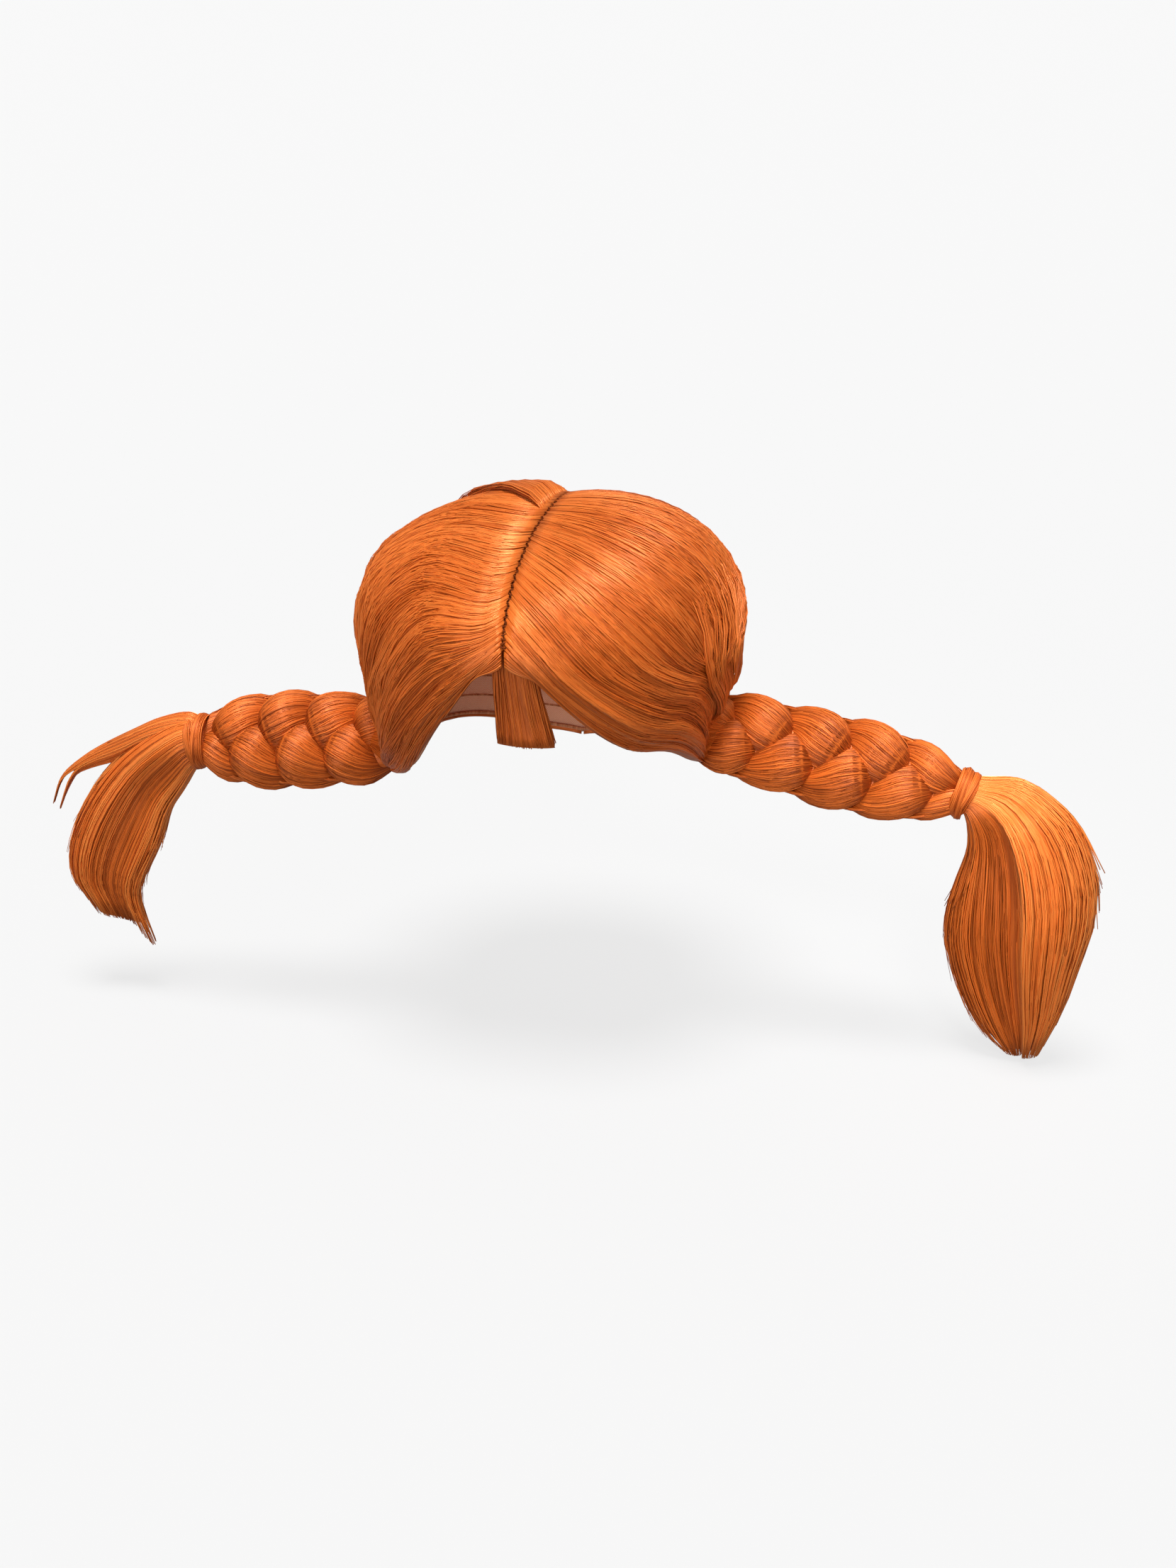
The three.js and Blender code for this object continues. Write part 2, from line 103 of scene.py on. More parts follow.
# Edges of the loose ends, outwards and up from the middle of the tie, and half the thickness between.
TAIL_COLUMNS = "inner_out inner_up outer_out outer_up deep"
TAILS = {
    "left": table(
        TAIL_COLUMNS,
        (-4, -9, 4, 9, 9), (1, -10, 13, 9, 10), (3, -21, 28, 10, 12), (2, -33, 43, 4, 14),
        (-3, -50, 58, -10, 16), (-7, -68, 68, -36, 18), (-6, -86, 68, -60, 18),
        (3, -111, 62, -84, 15), (14, -128, 55, -110, 10), (27, -139, 44, -137, 4.5),
    ),
    "right": table(
        TAIL_COLUMNS,
        (-4, -10, -3, 11, 9.5), (2, -14, 7, 14, 10.5), (9, -26, 23, 7, 12), (17, -39, 43, -9, 13),
        (22, -54, 61, -32, 13.5), (28, -67, 72, -56, 13), (35, -81, 74, -76, 12),
        (36, -94, 68, -89, 9), (29, -116, 56, -108, 5),
    ),
    "wisp": table(
        TAIL_COLUMNS,
        (-2, 2, -3, 11, 5), (9, 3, 6, 15, 6), (30, -4, 21, 11, 6), (46, -14, 35, 4, 5.5),
        (59, -19, 51, -5, 4.5), (68, -24, 63, -13, 3.5), (73, -34, 76, -24, 1.8),
        (77, -44, 82, -40, 0.8),
    ),
}

# The two sides. Sweep is how far the strands rise over a straight way to the root, and tuck how much the
# front of the root is drawn in. Lenses are the crossings of the plait, and bound is the radius of its tie.
SIDES = {
    "left": dict(
        name="left", sign=1, root=(0, -55), reach=79, tie=(208.5, -5, -78), sag=0.5, size=1, sweep=8,
        tuck=0, pitch=29.7, lenses=(29, 43.5), start=-3, first=-2, tilt=16, bound=12.0,
    ),
    "right": dict(
        name="right", sign=-1, root=(-20, -66), reach=74, tie=(175.5, -20, -76), sag=0, size=1.06, sweep=25,
        tuck=0.3, pitch=25, lenses=(32, 22), start=0, first=5, tilt=-5, bound=13.4,
    ),
}

PARTING_HALF = 0.7
FRONT_HEIGHT = 10.5
BACK_LEVEL = 0.69
EDGE_LIFT = 3.4
EDGE_SHARE = 0.09
LEAST_LIFT = CAP_WALL + 1.2
TIE_LENGTH = 9.5


# Numbers and lines


def smooth(keys, values, at):
    """A smooth line through the values at the keys, read at any places."""
    at = np.clip(at, keys[0], keys[-1])
    i = np.clip(np.searchsorted(keys, at, side="right") - 1, 0, len(keys) - 2)
    slopes = np.gradient(values, keys, axis=0)
    gap = keys[i + 1] - keys[i]
    t = (at - keys[i]) / gap
    if values.ndim > 1:
        gap, t = gap[..., None], t[..., None]
    ahead = t * t * (3 - 2 * t)
    bend = gap * t * (1 - t) * (slopes[i] * (1 - t) - slopes[i + 1] * t)
    return values[i] * (1 - ahead) + values[i + 1] * ahead + bend


def step(at, low, high):
    """0 below low, 1 above high and smooth between them."""
    t = np.clip((at - low) / (high - low), 0, 1)
    return t * t * (3 - 2 * t)


def mix(a, b, share):
    return a + (b - a) * share


def unit(v):
    return v / np.maximum(np.linalg.norm(v, axis=-1, keepdims=True), 1e-9)


def stack(x, y, z):
    return np.stack(np.broadcast_arrays(x, y, z), -1).astype(float)


def spread(count, rng):
    """Places from 0 to 1, evenly apart but for a random part of a step."""
    return (np.arange(count) + rng.random(count)) / count


def placed(points):
    """The frame's metres for points measured in millimetres from the widest level of the head."""
    return (np.asarray(points, float) - (0, 0, CROWN)) * MM


# Meshes from arrays


def piece_from(name, points, quads, triangles, places):
    """A smooth mesh object, with a place on the fibre map for each corner of its faces."""
    mesh = bpy.data.meshes.new(name)
    corners = np.concatenate([quads.ravel(), triangles.ravel()]).astype(np.int32)
    counts = np.repeat([4, 3], [len(quads), len(triangles)])
    starts = np.concatenate([[0], np.cumsum(counts)[:-1]]).astype(np.int32)
    mesh.vertices.add(len(points))
    mesh.vertices.foreach_set("co", placed(points).ravel().astype(np.float32))
    mesh.loops.add(len(corners))
    mesh.loops.foreach_set("vertex_index", corners)
    mesh.polygons.add(len(counts))
    mesh.polygons.foreach_set("loop_start", starts)
    mesh.polygons.foreach_set("use_smooth", np.ones(len(counts), bool))
    mesh.update(calc_edges=True)
    layer = mesh.uv_layers.new(name=FIBRE_MAP)
    layer.uv.foreach_set("vector", places.ravel().astype(np.float32))
    mesh.validate()
    piece = bpy.data.objects.new(name, mesh)
    bpy.context.collection.objects.link(piece)
    return piece


TONE_WIDTH = 0.012
FLATNESS = 0.42


def fibres(name, paths, outward, radii, tones, sides=3, flatness=FLATNESS):
    """One piece of many closed fibres. On the map each lies by its tone, with its length up the map."""
    count, steps, _ = paths.shape
    along = unit(np.gradient(paths, axis=1))
    out = unit(outward - (outward * along).sum(-1, keepdims=True) * along)
    side = np.cross(along, out)
    turns = 2 * np.pi * np.arange(sides) / sides
    spokes = flatness * np.cos(turns)[:, None] * out[:, :, None]
    spokes = spokes + np.sin(turns)[:, None] * side[:, :, None]
    points = paths[:, :, None] + radii[:, :, None, None] * spokes
    index = np.arange(count * steps * sides).reshape(count, steps, sides)
    after = np.roll(index, -1, axis=2)
    quads = np.stack([index[:, :-1], after[:, :-1], after[:, 1:], index[:, 1:]], -1).reshape(-1, 4)
    fans = [(0, k + 1, k) for k in range(1, sides - 1)]
    ends = [(0, k, k + 1) for k in range(1, sides - 1)]
    caps = np.concatenate([index[:, 0][:, fans], index[:, -1][:, ends]], 1).reshape(-1, 3)
    rank = np.empty(count)
    rank[np.argsort(tones, kind="stable")] = np.arange(count) / max(count - 1, 1)
    u = (1 - TONE_WIDTH) * rank[:, None, None] + TONE_WIDTH * np.arange(sides + 1) / sides
    v = (np.arange(steps) / (steps - 1))[:, None]
    flat = np.stack(np.broadcast_arrays(u, v[None]), -1)
    low, high = flat[:, :-1], flat[:, 1:]
    quad_places = np.stack([low[:, :, :-1], low[:, :, 1:], high[:, :, 1:], high[:, :, :-1]], 3)
    cap_places = np.concatenate([flat[:, 0][:, fans], flat[:, -1][:, ends]], 1)
    places = np.concatenate([quad_places.reshape(-1, 2), cap_places.reshape(-1, 2)])
    return piece_from(name, points.reshape(-1, 3), quads, caps, places)


# Pieces by hand


MERGE_WITHIN = 1e-5


def deselect():
    if bpy.context.object and bpy.context.object.mode != "OBJECT":
        bpy.ops.object.mode_set(mode="OBJECT")
    bpy.ops.object.select_all(action="DESELECT")


def sheet_piece(name, rows, columns, place, thickness=0.0, closed=False):
    """A grid of faces laid by place(row share, column share), which may close round and get a wall."""
    deselect()
    bpy.ops.mesh.primitive_grid_add(x_subdivisions=rows, y_subdivisions=columns, size=2, calc_uvs=True)
    piece = bpy.context.object
    piece.name = piece.data.name = name
    mesh = piece.data
    flat = np.empty(len(mesh.vertices) * 3)
    mesh.vertices.foreach_get("co", flat)
    share = (flat.reshape(-1, 3)[:, :2] + 1) / 2
    points = placed(place(share[:, 0], share[:, 1]))
    mesh.vertices.foreach_set("co", points.ravel())
    mesh.uv_layers[0].name = FIBRE_MAP
    mesh.update()
    bpy.ops.object.mode_set(mode="EDIT")
    bpy.ops.mesh.select_all(action="SELECT")
    if closed:
        bpy.ops.mesh.remove_doubles(threshold=MERGE_WITHIN)
    bpy.ops.object.mode_set(mode="OBJECT")
    if thickness:
        wall = piece.modifiers.new("wall", "SOLIDIFY")
        wall.thickness = abs(thickness) * MM
        wall.offset = math.copysign(1, thickness)
        bpy.ops.object.modifier_apply(modifier=wall.name)
    bpy.ops.object.shade_smooth()
    return piece


def settle(piece, slot, material, *nodes):
    """Gives a finished piece its material and the nodes that it stands for; the slot is not used."""
    piece.data.materials.clear()
    piece.data.materials.append(material)
    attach(piece, ROOT)
    if nodes:
        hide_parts(*nodes)


def lay(title, strands, slot, material, *nodes):
    """A finished piece of fibres."""
    settle(fibres(title, *strands), slot, material, *nodes)


# The head


def width_at(height):
    return 1 - TUCK * (height / NAPE) ** 2


def on_dome(p, lift):
    """Pushes points out from the middle of the head onto the cap, raised by lift."""
    x, y, z = np.moveaxis(p, -1, 0)
    flat = np.hypot(x / (HALF_WIDTH + lift), y / (HALF_DEPTH + lift))
    high = np.maximum(z, 0) / (CROWN + lift)
    size = (flat**SQUARENESS + high**SQUARENESS) ** (1 / SQUARENESS)
    share = np.where(z >= 0, 1 / size, width_at(z) / flat)
    return stack(x * share, y * share, np.where(z >= 0, z * share, z))


def rim(side, degrees):
    turn = np.radians(degrees)
    height = smooth(RIM["round"], RIM[side["name"]], degrees)
    return stack(side["sign"] * HALF_WIDTH * np.sin(turn), -HALF_DEPTH * np.cos(turn), height)


def parting(along, sign):
    """Points of the parting, from 0 at the front hairline to 1 at the nape."""
    front = math.asin(FRONT_HEIGHT / CROWN)
    turn = mix(front, np.pi, np.clip(along / BACK_LEVEL, 0, 1))
    down = np.clip((along - BACK_LEVEL) / (1 - BACK_LEVEL), 0, 1)
    return stack(sign * PARTING_HALF, -HALF_DEPTH * np.cos(turn), CROWN * np.sin(turn) - NAPE * down)


def root_ring(side, along):
    """Points round the root of a plait."""
    turn = np.radians(smooth(MEETS["along"], MEETS["turn"], along))
    radius = ROOT_RADIUS * (1 - side["tuck"] * step(-turn, 0, TUCK_TURN))
    y = side["root"][0] - radius * np.cos(turn)
    z = side["root"][1] + radius * np.sin(turn)
    x = HALF_WIDTH * np.sqrt(width_at(z) ** 2 - (y / HALF_DEPTH) ** 2)
    return stack(side["sign"] * x, y, z)


def hair_edge(side, end, across):
    """The front edge of the hair, or its edge at the nape, from the parting to the root of the plait."""
    stop = root_ring(side, np.array(end))
    last = np.degrees(np.arctan2(abs(stop[0]) / HALF_WIDTH, -stop[1] / HALF_DEPTH))
    first = 180.0 * end
    begin_miss = parting(np.array(end), side["sign"]) - on_dome(rim(side, np.array(first)), 0)
    stop_miss = stop - on_dome(rim(side, last), 0)
    line = on_dome(rim(side, mix(first, last, across)), 0)
    return line + begin_miss * (1 - across)[..., None] ** 4 + stop_miss * across[..., None] ** 4


def hair_point(side, along, across, lift):
    """Points of one half of the hair: along the parting, and across from it to the plait."""

    def chord(at):
        start = parting(at, side["sign"])
        return mix(start, root_ring(side, at), across[..., None])

    front, back = np.zeros_like(along), np.ones_like(along)
    p = chord(along)
    p += (1 - along)[..., None] * (hair_edge(side, 0.0, across) - chord(front))
    p += along[..., None] * (hair_edge(side, 1.0, across) - chord(back))
    p[..., 2] += side["sweep"] * np.sin(np.pi * across) * 4 * along * (1 - along)
    return on_dome(p, lift)


def hair_lift(side, along, across):
    """How far the outside of the hair stands off the inside of the cap."""
    body = np.sqrt(np.clip(np.minimum(along, 1 - along) / EDGE_SHARE, 0, 1))
    return mix(EDGE_LIFT, smooth(LIFT["across"], LIFT[side["name"]], across), body)


class Locks:
    """Uneven divisions of a line from 0 to 1, each with a height and a tone of its own."""

    def __init__(self, count, rng):
        widths = rng.uniform(0.4, 1.6, count)
        self.edges = np.concatenate([[0], np.cumsum(widths) / widths.sum()])
        self.height = rng.normal(0, 1, count)
        self.tone = rng.normal(0, 1, count)
        self.phase = rng.uniform(0, 2 * np.pi, count)

    def find(self, at):
        """Which lock, and how far from its middle, from -1 to 1."""
        i = np.clip(np.searchsorted(self.edges, at, side="right") - 1, 0, len(self.height) - 1)
        low, high = self.edges[i], self.edges[i + 1]
        return i, (2 * at - low - high) / (high - low)


HAIR_STRANDS = 1500
HAIR_STEPS = 18
HAIR_LOCKS = 44
ROOT_STEPS = 4
STRAY_SHARE = 0.06
STRAND_DEPTH = 0.6
BED_DEPTH = 0.7
TUFTS = 66
FRONT_SHARE, FRONT_PART = 0.08, 0.04
FAN_PLACE, FAN_TURN = 0.12, 0.1
VALLEY_DEPTH, VALLEY_WIDTH = 0.3, 0.04
ROOT_REACH, ROOT_SWING, ROOT_DROP = 9, 8.0, 0.05


def fanned(side, along, across):
    """On the right half, strands from the front of the parting keep level before they turn down."""
    if side["name"] == "left":
        return along
    fan = along / FAN_PLACE
    across = np.clip(across, 0, 1)
    level = FAN_TURN * fan * np.exp(1 - fan)
    return along + level * np.sin(np.pi * across**0.75) * step(across, -0.02, 0.3)


# Waves of the surface across the strands: how many along the parting, how they wander and their height.
WAVES = (9, 1.1, 0.55), (17, 1.7, 0.5), (29, 2.3, 0.4), (47, 3.1, 0.28)


def lock_relief(side, along, across):
    """Locks as soft waves of the surface, with tufts beside the parting."""
    relief = 0.0
    for i, (count, bends, height) in enumerate(WAVES):
        wander = 0.5 * np.sin(bends * across * 2 + 3 * i + side["sign"])
        turn = 2 * np.pi * (count * along + wander + 0.3 * i) + 1.5 * np.sin(7 * along + i)
        relief = relief + height * np.sin(turn)
    tuft = np.abs(np.sin(np.pi * (TUFTS * along + 0.35 * np.sin(31 * along))))
    return relief * step(across, 0.02, 0.35) + 0.6 * (tuft - 0.6) * np.exp(-across / 0.05)


def hair_top(side, along, across):
    """The lift of the hair with its locks, which drops to the seam beside the parting."""
    valley = VALLEY_DEPTH * np.exp(-across / VALLEY_WIDTH)
    return hair_lift(side, along, across) + lock_relief(side, along, across) - valley


def into_plait(side, head, rng):
    """Strands on the head, drawn on out into the plait."""
    leave = unit(head[:, -1] - head[:, -2])
    axis = np.array([side["sign"], 0, -ROOT_DROP])
    centre = np.array([head[:, -1, 0].mean(), *side["root"]])
    inner = mix(0.2, 0.4, rng.random(len(head)))[:, None]
    target = centre + (head[:, -1] - centre) * inner * (0, 1, 1) + axis * ROOT_REACH
    t = (np.arange(1, ROOT_STEPS + 1) / ROOT_STEPS)[None, :, None]
    tail = (
        head[:, -1:] * (1 + 2 * t) * (1 - t) ** 2
        + leave[:, None] * ROOT_SWING * t * (1 - t) ** 2
        + target[:, None] * t**2 * (3 - 2 * t)
        - axis * ROOT_SWING * t**2 * (1 - t)
    )
    return np.concatenate([head, tail], 1)


def hair_half(side, locks, rng):
    """The strands of one half, each from the parting over the head and out into the plait."""
    count = HAIR_STRANDS
    start = spread(count, rng)
    start = np.where(rng.random(count) < FRONT_SHARE, rng.random(count) * FRONT_PART, start)
    lock, _ = locks.find(start)
    even = np.arange(HAIR_STEPS) / (HAIR_STEPS - 1)
    shift = rng.uniform(-0.5, 0.5, (count, 1)) * np.sin(np.pi * even) / (HAIR_STEPS - 1)
    ragged = 0.0035 * side["sign"] * np.sin(2 * np.pi * TUFTS * start + 2 * np.sin(31 * start))
    ragged = ragged + rng.normal(0, 0.0012, count)
    across = (even + shift) ** 1.2 + ragged[:, None] * (1 - even) ** 6
    depth = rng.random(count) ** 1.3
    stray = rng.random(count) < STRAY_SHARE
    drift = np.where(stray, rng.normal(0, 0.016, count), rng.normal(0, 0.004, count))
    phase = rng.uniform(0, 2 * np.pi, count)[:, None]
    waves = rng.uniform(0.5, 1.6, count)[:, None]
    along = start[:, None] + drift[:, None] * across
    along = along + 0.0018 * np.sin(2 * np.pi * waves * across + phase)
    wander = 0.003 * np.sin(2.6 * np.pi * across + locks.phase[lock][:, None])
    along = along + wander * step(across, 0, 0.3)
    along = np.clip(fanned(side, np.clip(along, 0, 1), across), 0, 1)
    lift = hair_top(side, along, across) - STRAND_DEPTH * depth[:, None] * step(across, 0, 0.1)
    lift = lift + 0.6 * stray[:, None] * np.sin(np.pi * across)
    head = hair_point(side, along, across, np.maximum(lift, LEAST_LIFT))
    paths = into_plait(side, head, rng)
    outward = unit(paths - HEAD_MIDDLE)
    size = rng.uniform(0.32, 0.52, count)[:, None]
    radii = size * np.concatenate([mix(0.95, 0.8, even**2), np.full(ROOT_STEPS, 0.75)])
    # Painted shade and highlight: deeper strands are painted darker, and raised stray strands lighter.
    tones = 0.2 * locks.tone[lock] + rng.normal(0, 0.15, count) - 0.25 * depth + 0.15 * stray
    return paths, outward, radii, tones


def hair_bed(side):
    """The close under-hair that fills the spaces between the strands."""

    def place(along, across):
        lift = hair_top(side, along, across) - BED_DEPTH * (1 + np.exp(-across / 0.03))
        return hair_point(side, along, across, np.maximum(lift, CAP_WALL + 1.0))

    return sheet_piece(f"hair_{side['name']}_bed", 200, 40, place, 1.0 * side["sign"])


# Locks that lie over the rest: their span along and across, how far they lean and from where to where, where
# they rise and fall, and how high they lie.
OVERLAPS = {
    "left": dict(
        along=(0.3, 0.5), across=(0.1, 1.0), lean=-0.25, bend=(0.3, 0.7),
        rise=(0.3, 0.75), fall=(0.9, 1.0), height=4.0,
    ),
    "right": dict(
        along=(0.305, 0.5), across=(0.0, 0.6), lean=0.55, bend=(0.0, 1.0),
        rise=(0.0, 0.07), fall=(0.18, 0.34), height=4.4,
    ),
}
OVERLAP_STRANDS = 240
OVERLAP_STEPS = 18
OVERLAP_SUNK = 1.6
OVERLAP_EDGE = 0.08
BEND_SOFT = 0.06


def overlap_strands(side, rng):
    """Strands of a lock that lies over the rest, with a thick front edge."""
    over = OVERLAPS[side["name"]]
    count = OVERLAP_STRANDS
    share = np.where(rng.random(count) < 0.25, rng.random(count) * OVERLAP_EDGE, spread(count, rng))
    first, last = over["across"]
    across = np.broadcast_to(np.linspace(first, last, OVERLAP_STEPS)[None], (count, OVERLAP_STEPS))
    late = 0.14 * (rng.random(count)[:, None] - 0.5) * (first > 0)
    longer = rng.uniform(-0.05, 0.14, count)[:, None] * (last < 1)
    risen = step(across + late, *over["rise"]) * (1 - step(across - longer, *over["fall"]))
    past = np.minimum(across, over["bend"][1]) - over["bend"][0]
    leant = over["lean"] * 0.5 * (past + np.hypot(past, BEND_SOFT))
    along = mix(*over["along"], share)[:, None] + leant
    along = along + 0.003 * np.sin(5 * across + rng.uniform(0, 6, count)[:, None])
    depth = rng.random(count) * np.where(share < OVERLAP_EDGE, 0.75, 0.12)
    full = over["height"] * (1 - depth) * (1 - 0.8 * step(share, 0.5, 1))
    lift = hair_top(side, along, across) + full[:, None] * risen - OVERLAP_SUNK * (1 - step(risen, 0, 0.3))
    paths = hair_point(side, along, across, np.maximum(lift, LEAST_LIFT))
    if last == 1:
        paths = into_plait(side, paths, rng)
    size = rng.uniform(0.32, 0.5, count)[:, None] * np.ones(paths.shape[1])
    # Painted shade: strands that lie deeper in the lock are painted darker.
    tones = rng.normal(0, 0.25, count) - 0.4 * depth
    return paths, unit(paths - HEAD_MIDDLE), size, tones


FRONT_STRANDS = 70
FRONT_STEPS = 14
FRONT_REACH = 0.3
FRONT_JOIN = 0.15
FRONT_DROP = 7.5


def front_strands(side, rng):
    """Strands that leave the parting below its front end and close the hairline over the fringe."""
    low = spread(FRONT_STRANDS, rng)[:, None]
    across = np.linspace(0, FRONT_REACH, FRONT_STEPS)[None] + 0 * low
    below = low * (1 - step(across, 0, FRONT_JOIN))
    points = hair_edge(side, 0.0, across)
    points[..., 2] -= FRONT_DROP * below
    lift = mix(EDGE_LIFT, CAP_WALL + 0.9, step(across, 0.1, FRONT_REACH)) - 1.5 * below
    paths = on_dome(points, lift + rng.normal(0, 0.3, (FRONT_STRANDS, 1)))
    radii = rng.uniform(0.3, 0.46, FRONT_STRANDS)[:, None] * np.ones(FRONT_STEPS)
    # Painted shade: strands that drop lower under the hairline are painted darker.
    tones = rng.normal(0, 0.25, FRONT_STRANDS) - 0.3 * low[:, 0]
    return paths, unit(paths - HEAD_MIDDLE), radii, tones


# Plaits


def plait_line(side):
    """The middle line of a plait from the root to the tie, and its length."""
    sign = side["sign"]
    first = np.array([sign * side["reach"], *side["root"]], float)
    last = np.array([sign * side["tie"][0], *side["tie"][1:]], float)
    middle = (first + last) / 2 - (0, 0, side["sag"])
    return np.stack([first, middle, last]), np.linalg.norm(last - first)


def frames_on(line, at):
    """Places on a line with their directions along it, to the front and across."""
    keys = np.linspace(0, 1, len(line))
    nudge = 1e-3
    middle = smooth(keys, line, at)
    ahead = smooth(keys, line, np.minimum(at + nudge, 1)) - smooth(keys, line, np.maximum(at - nudge, 0))
    along = unit(ahead)
    front = unit(np.array([0.0, -1.0, 0.0]) + along * along[..., 1:2])
    return middle, along, front, np.cross(along, front)


# A lens of a plait, where one strand crosses over the others, from its tip at the edge of the plait to the
# end that dives under the next lens: place along in lens pitches, place aside, half width and height.
LENS = table(
    "share ahead aside half high",
    (0, -1.0, 13, 3, -6), (0.15, -0.75, 13, 6.5, 0.5), (0.35, -0.42, 12, 11, 8.5),
    (0.5, -0.2, 9.8, 13.5, 12.5), (0.65, 0, 7, 14.3, 14.3), (0.85, 0.36, 3, 11, 11),
    (1, 0.72, 0, 3, -4),
)
LENS_BULGE = 1.05
LENS_FIBRES = {1: 100, -1: 44}
FACE_WIDTH = {1: 1.0, -1: 0.9}
LENS_STEPS = 14
PLAIT_ROLL = math.radians(32)
CORE_HALF_ACROSS, CORE_HALF_DEEP = 17.0, 7.0
PLAIT_TRIM = 2
LENS_PAST_END = 6
LENS_BED_INSET = 0.2


def lenses_of(side, strand):
    """The lenses of one strand: place along the plait, edge and face, which is -1 at the back."""
    _, whole = plait_line(side)
    upper, lower = side["lenses"]
    found = []
    for face in (1, -1):
        for first, edge in ((upper, -side["sign"]), (lower, side["sign"])):
            for k in range(-2, 8):
                place = first + k * side["pitch"]
                if side["first"] < place < whole + LENS_PAST_END:
                    found.append((place, edge, face))
    return sorted(found)[strand::3]


def lens_shares(side, lens, at):
    """Shares of a lens, for the part of it that lies past the root of the plait."""
    place, _, face = lens
    inside = np.interp(face * (side["start"] - place) / side["pitch"], LENS["ahead"], LENS["share"])
    return mix(inside, 1, at) if face > 0 else mix(0, inside, at)


def plait_frames(side, place):
    """Frames along a plait, turned so that its front looks up a little."""
    line, whole = plait_line(side)
    middle, along, front, aside = frames_on(line, place / whole)
    roll = side["sign"] * PLAIT_ROLL
    share = side["size"] * smooth(PLAIT_SHARE["along"], PLAIT_SHARE["share"], place / whole)
    turned = front * math.cos(roll) - aside * math.sin(roll)
    return middle, along, turned, aside * math.cos(roll) + front * math.sin(roll), share[..., None]


def lens_points(side, lens, share, across, inset):
    """Points on the outside of a lens, with the directions out of it."""
    place, edge, face = lens
    _, whole = plait_line(side)
    rows = np.stack([LENS["ahead"] * side["pitch"], LENS["aside"], LENS["half"], LENS["high"]], 1)
    here = smooth(LENS["share"], rows, share)
    before, after = np.maximum(share - 0.01, 0), np.minimum(share + 0.01, 1)
    way = unit((smooth(LENS["share"], rows, after) - smooth(LENS["share"], rows, before))[..., :2])
    half = FACE_WIDTH[face] * here[..., 2] * across
    along = place + face * (here[..., 0] - way[..., 1] * half)
    along = np.clip(along, side["start"], whole - PLAIT_TRIM)
    round_off = np.sqrt(1 - 0.96 * across**2)
    high = here[..., 3] - LENS_BULGE * here[..., 2] * (1 - round_off)
    aside = FACE_WIDTH[face] * here[..., 1] + way[..., 0] * half
    middle, ahead, front, edgeward, size = plait_frames(side, along)
    ahead, front, edgeward = ahead * face, front * face, edgeward * edge
    flat = (way[..., :1] * edgeward - way[..., 1:] * ahead) * across[..., None]
    out = unit(front * round_off[..., None] + flat)
    return middle + (front * high[..., None] + edgeward * aside[..., None]) * size - out * inset, out


def plait_lenses(side, strand, rng):
    """The fibres of one strand's lenses."""
    parts = []
    for lens in lenses_of(side, strand):
        count = LENS_FIBRES[lens[2]]
        share = lens_shares(side, lens, np.linspace(0, 1, LENS_STEPS))[None] + np.zeros((count, 1))
        across = np.sin(np.pi * 0.49 * (2 * spread(count, rng) - 1))[:, None]
        # edge marks the fibres on the side of the lens that meets the next lens in a crease; they are
        # painted darker below, as painted shade.
        edge = step(-across[:, 0], 0.8, 1)
        phase = rng.uniform(0, 2 * np.pi, count)[:, None]
        across = np.clip(across + 0.035 * np.sin(2 * np.pi * share + phase), -1, 1)
        depth = rng.random(count) ** 1.5
        loose = rng.random(count) < 0.05
        inset = (0.05 + 0.2 * depth - 0.35 * loose)[:, None, None]
        points, out = lens_points(side, lens, share, across, inset)
        width = math.sqrt(LENS_FIBRES[1] / count)
        radii = width * rng.uniform(0.38, 0.56, count)[:, None] * np.ones(LENS_STEPS)
        # Painted shade and light: deeper fibres are painted darker, loose raised fibres lighter, and fibres
        # on the crease side darker still.
        tones = rng.normal(0, 0.22, count) - 0.2 * depth + 0.15 * loose - 0.8 * edge
        parts.append((points, out, radii, tones))
    return [np.concatenate(part) for part in zip(*parts)]


def lens_beds(side, strand):
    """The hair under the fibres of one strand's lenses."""
    beds = []
    for lens in lenses_of(side, strand):

        def place(across, share):
            shares = lens_shares(side, lens, share)
            return lens_points(side, lens, shares, 2 * across - 1, LENS_BED_INSET)[0]

        beds.append(sheet_piece("lens_bed", 12, 16, place, -1.0 * lens[1]))
    return joined(f"{side['name']}_plait_{strand + 1}_bed", beds)


def joined(name, pieces):
    deselect()
    for piece in pieces:
        piece.select_set(True)
    bpy.context.view_layer.objects.active = pieces[0]
    bpy.ops.object.join()
    pieces[0].name = pieces[0].data.name = name
    return pieces[0]


def plait_core(side):
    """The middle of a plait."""
    _, whole = plait_line(side)

    def place(share, round_share):
        turn = -2 * np.pi * round_share
        middle, _, front, aside, size = plait_frames(side, share * (whole - PLAIT_TRIM))
        deep, wide = CORE_HALF_DEEP * np.cos(turn), CORE_HALF_ACROSS * np.sin(turn)
        return middle + (front * deep[:, None] + aside * wide[:, None]) * size

    return tube_piece(f"{side['name']}_plait_core", 40, 32, place)


def tube_piece(name, rows, columns, place):
    """A closed tube laid by place(length share, round share), with both its ends filled."""

    def turned(round_share, share):
        return place(share, round_share)

    piece = sheet_piece(name, columns, rows, turned, closed=True)
    bpy.ops.object.mode_set(mode="EDIT")
    bpy.ops.mesh.select_all(action="DESELECT")
    bpy.ops.mesh.select_non_manifold()
    bpy.ops.mesh.edge_face_add()
    bpy.ops.mesh.select_all(action="SELECT")
    bpy.ops.mesh.normals_make_consistent(inside=False)
    bpy.ops.object.mode_set(mode="OBJECT")
    return piece


# Ties


# Flat locks wound round the end of the plait: place along it, lean, width and how far out.
WINDINGS = ((-1.8, 0.16, 4.6, 0.0), (1.6, -0.05, 4.8, 0.4), (0.1, 0.22, 4.2, 0.7))
WIND_FIBRES = 16
WIND_STEPS = 36
WIND_OVER = 0.04


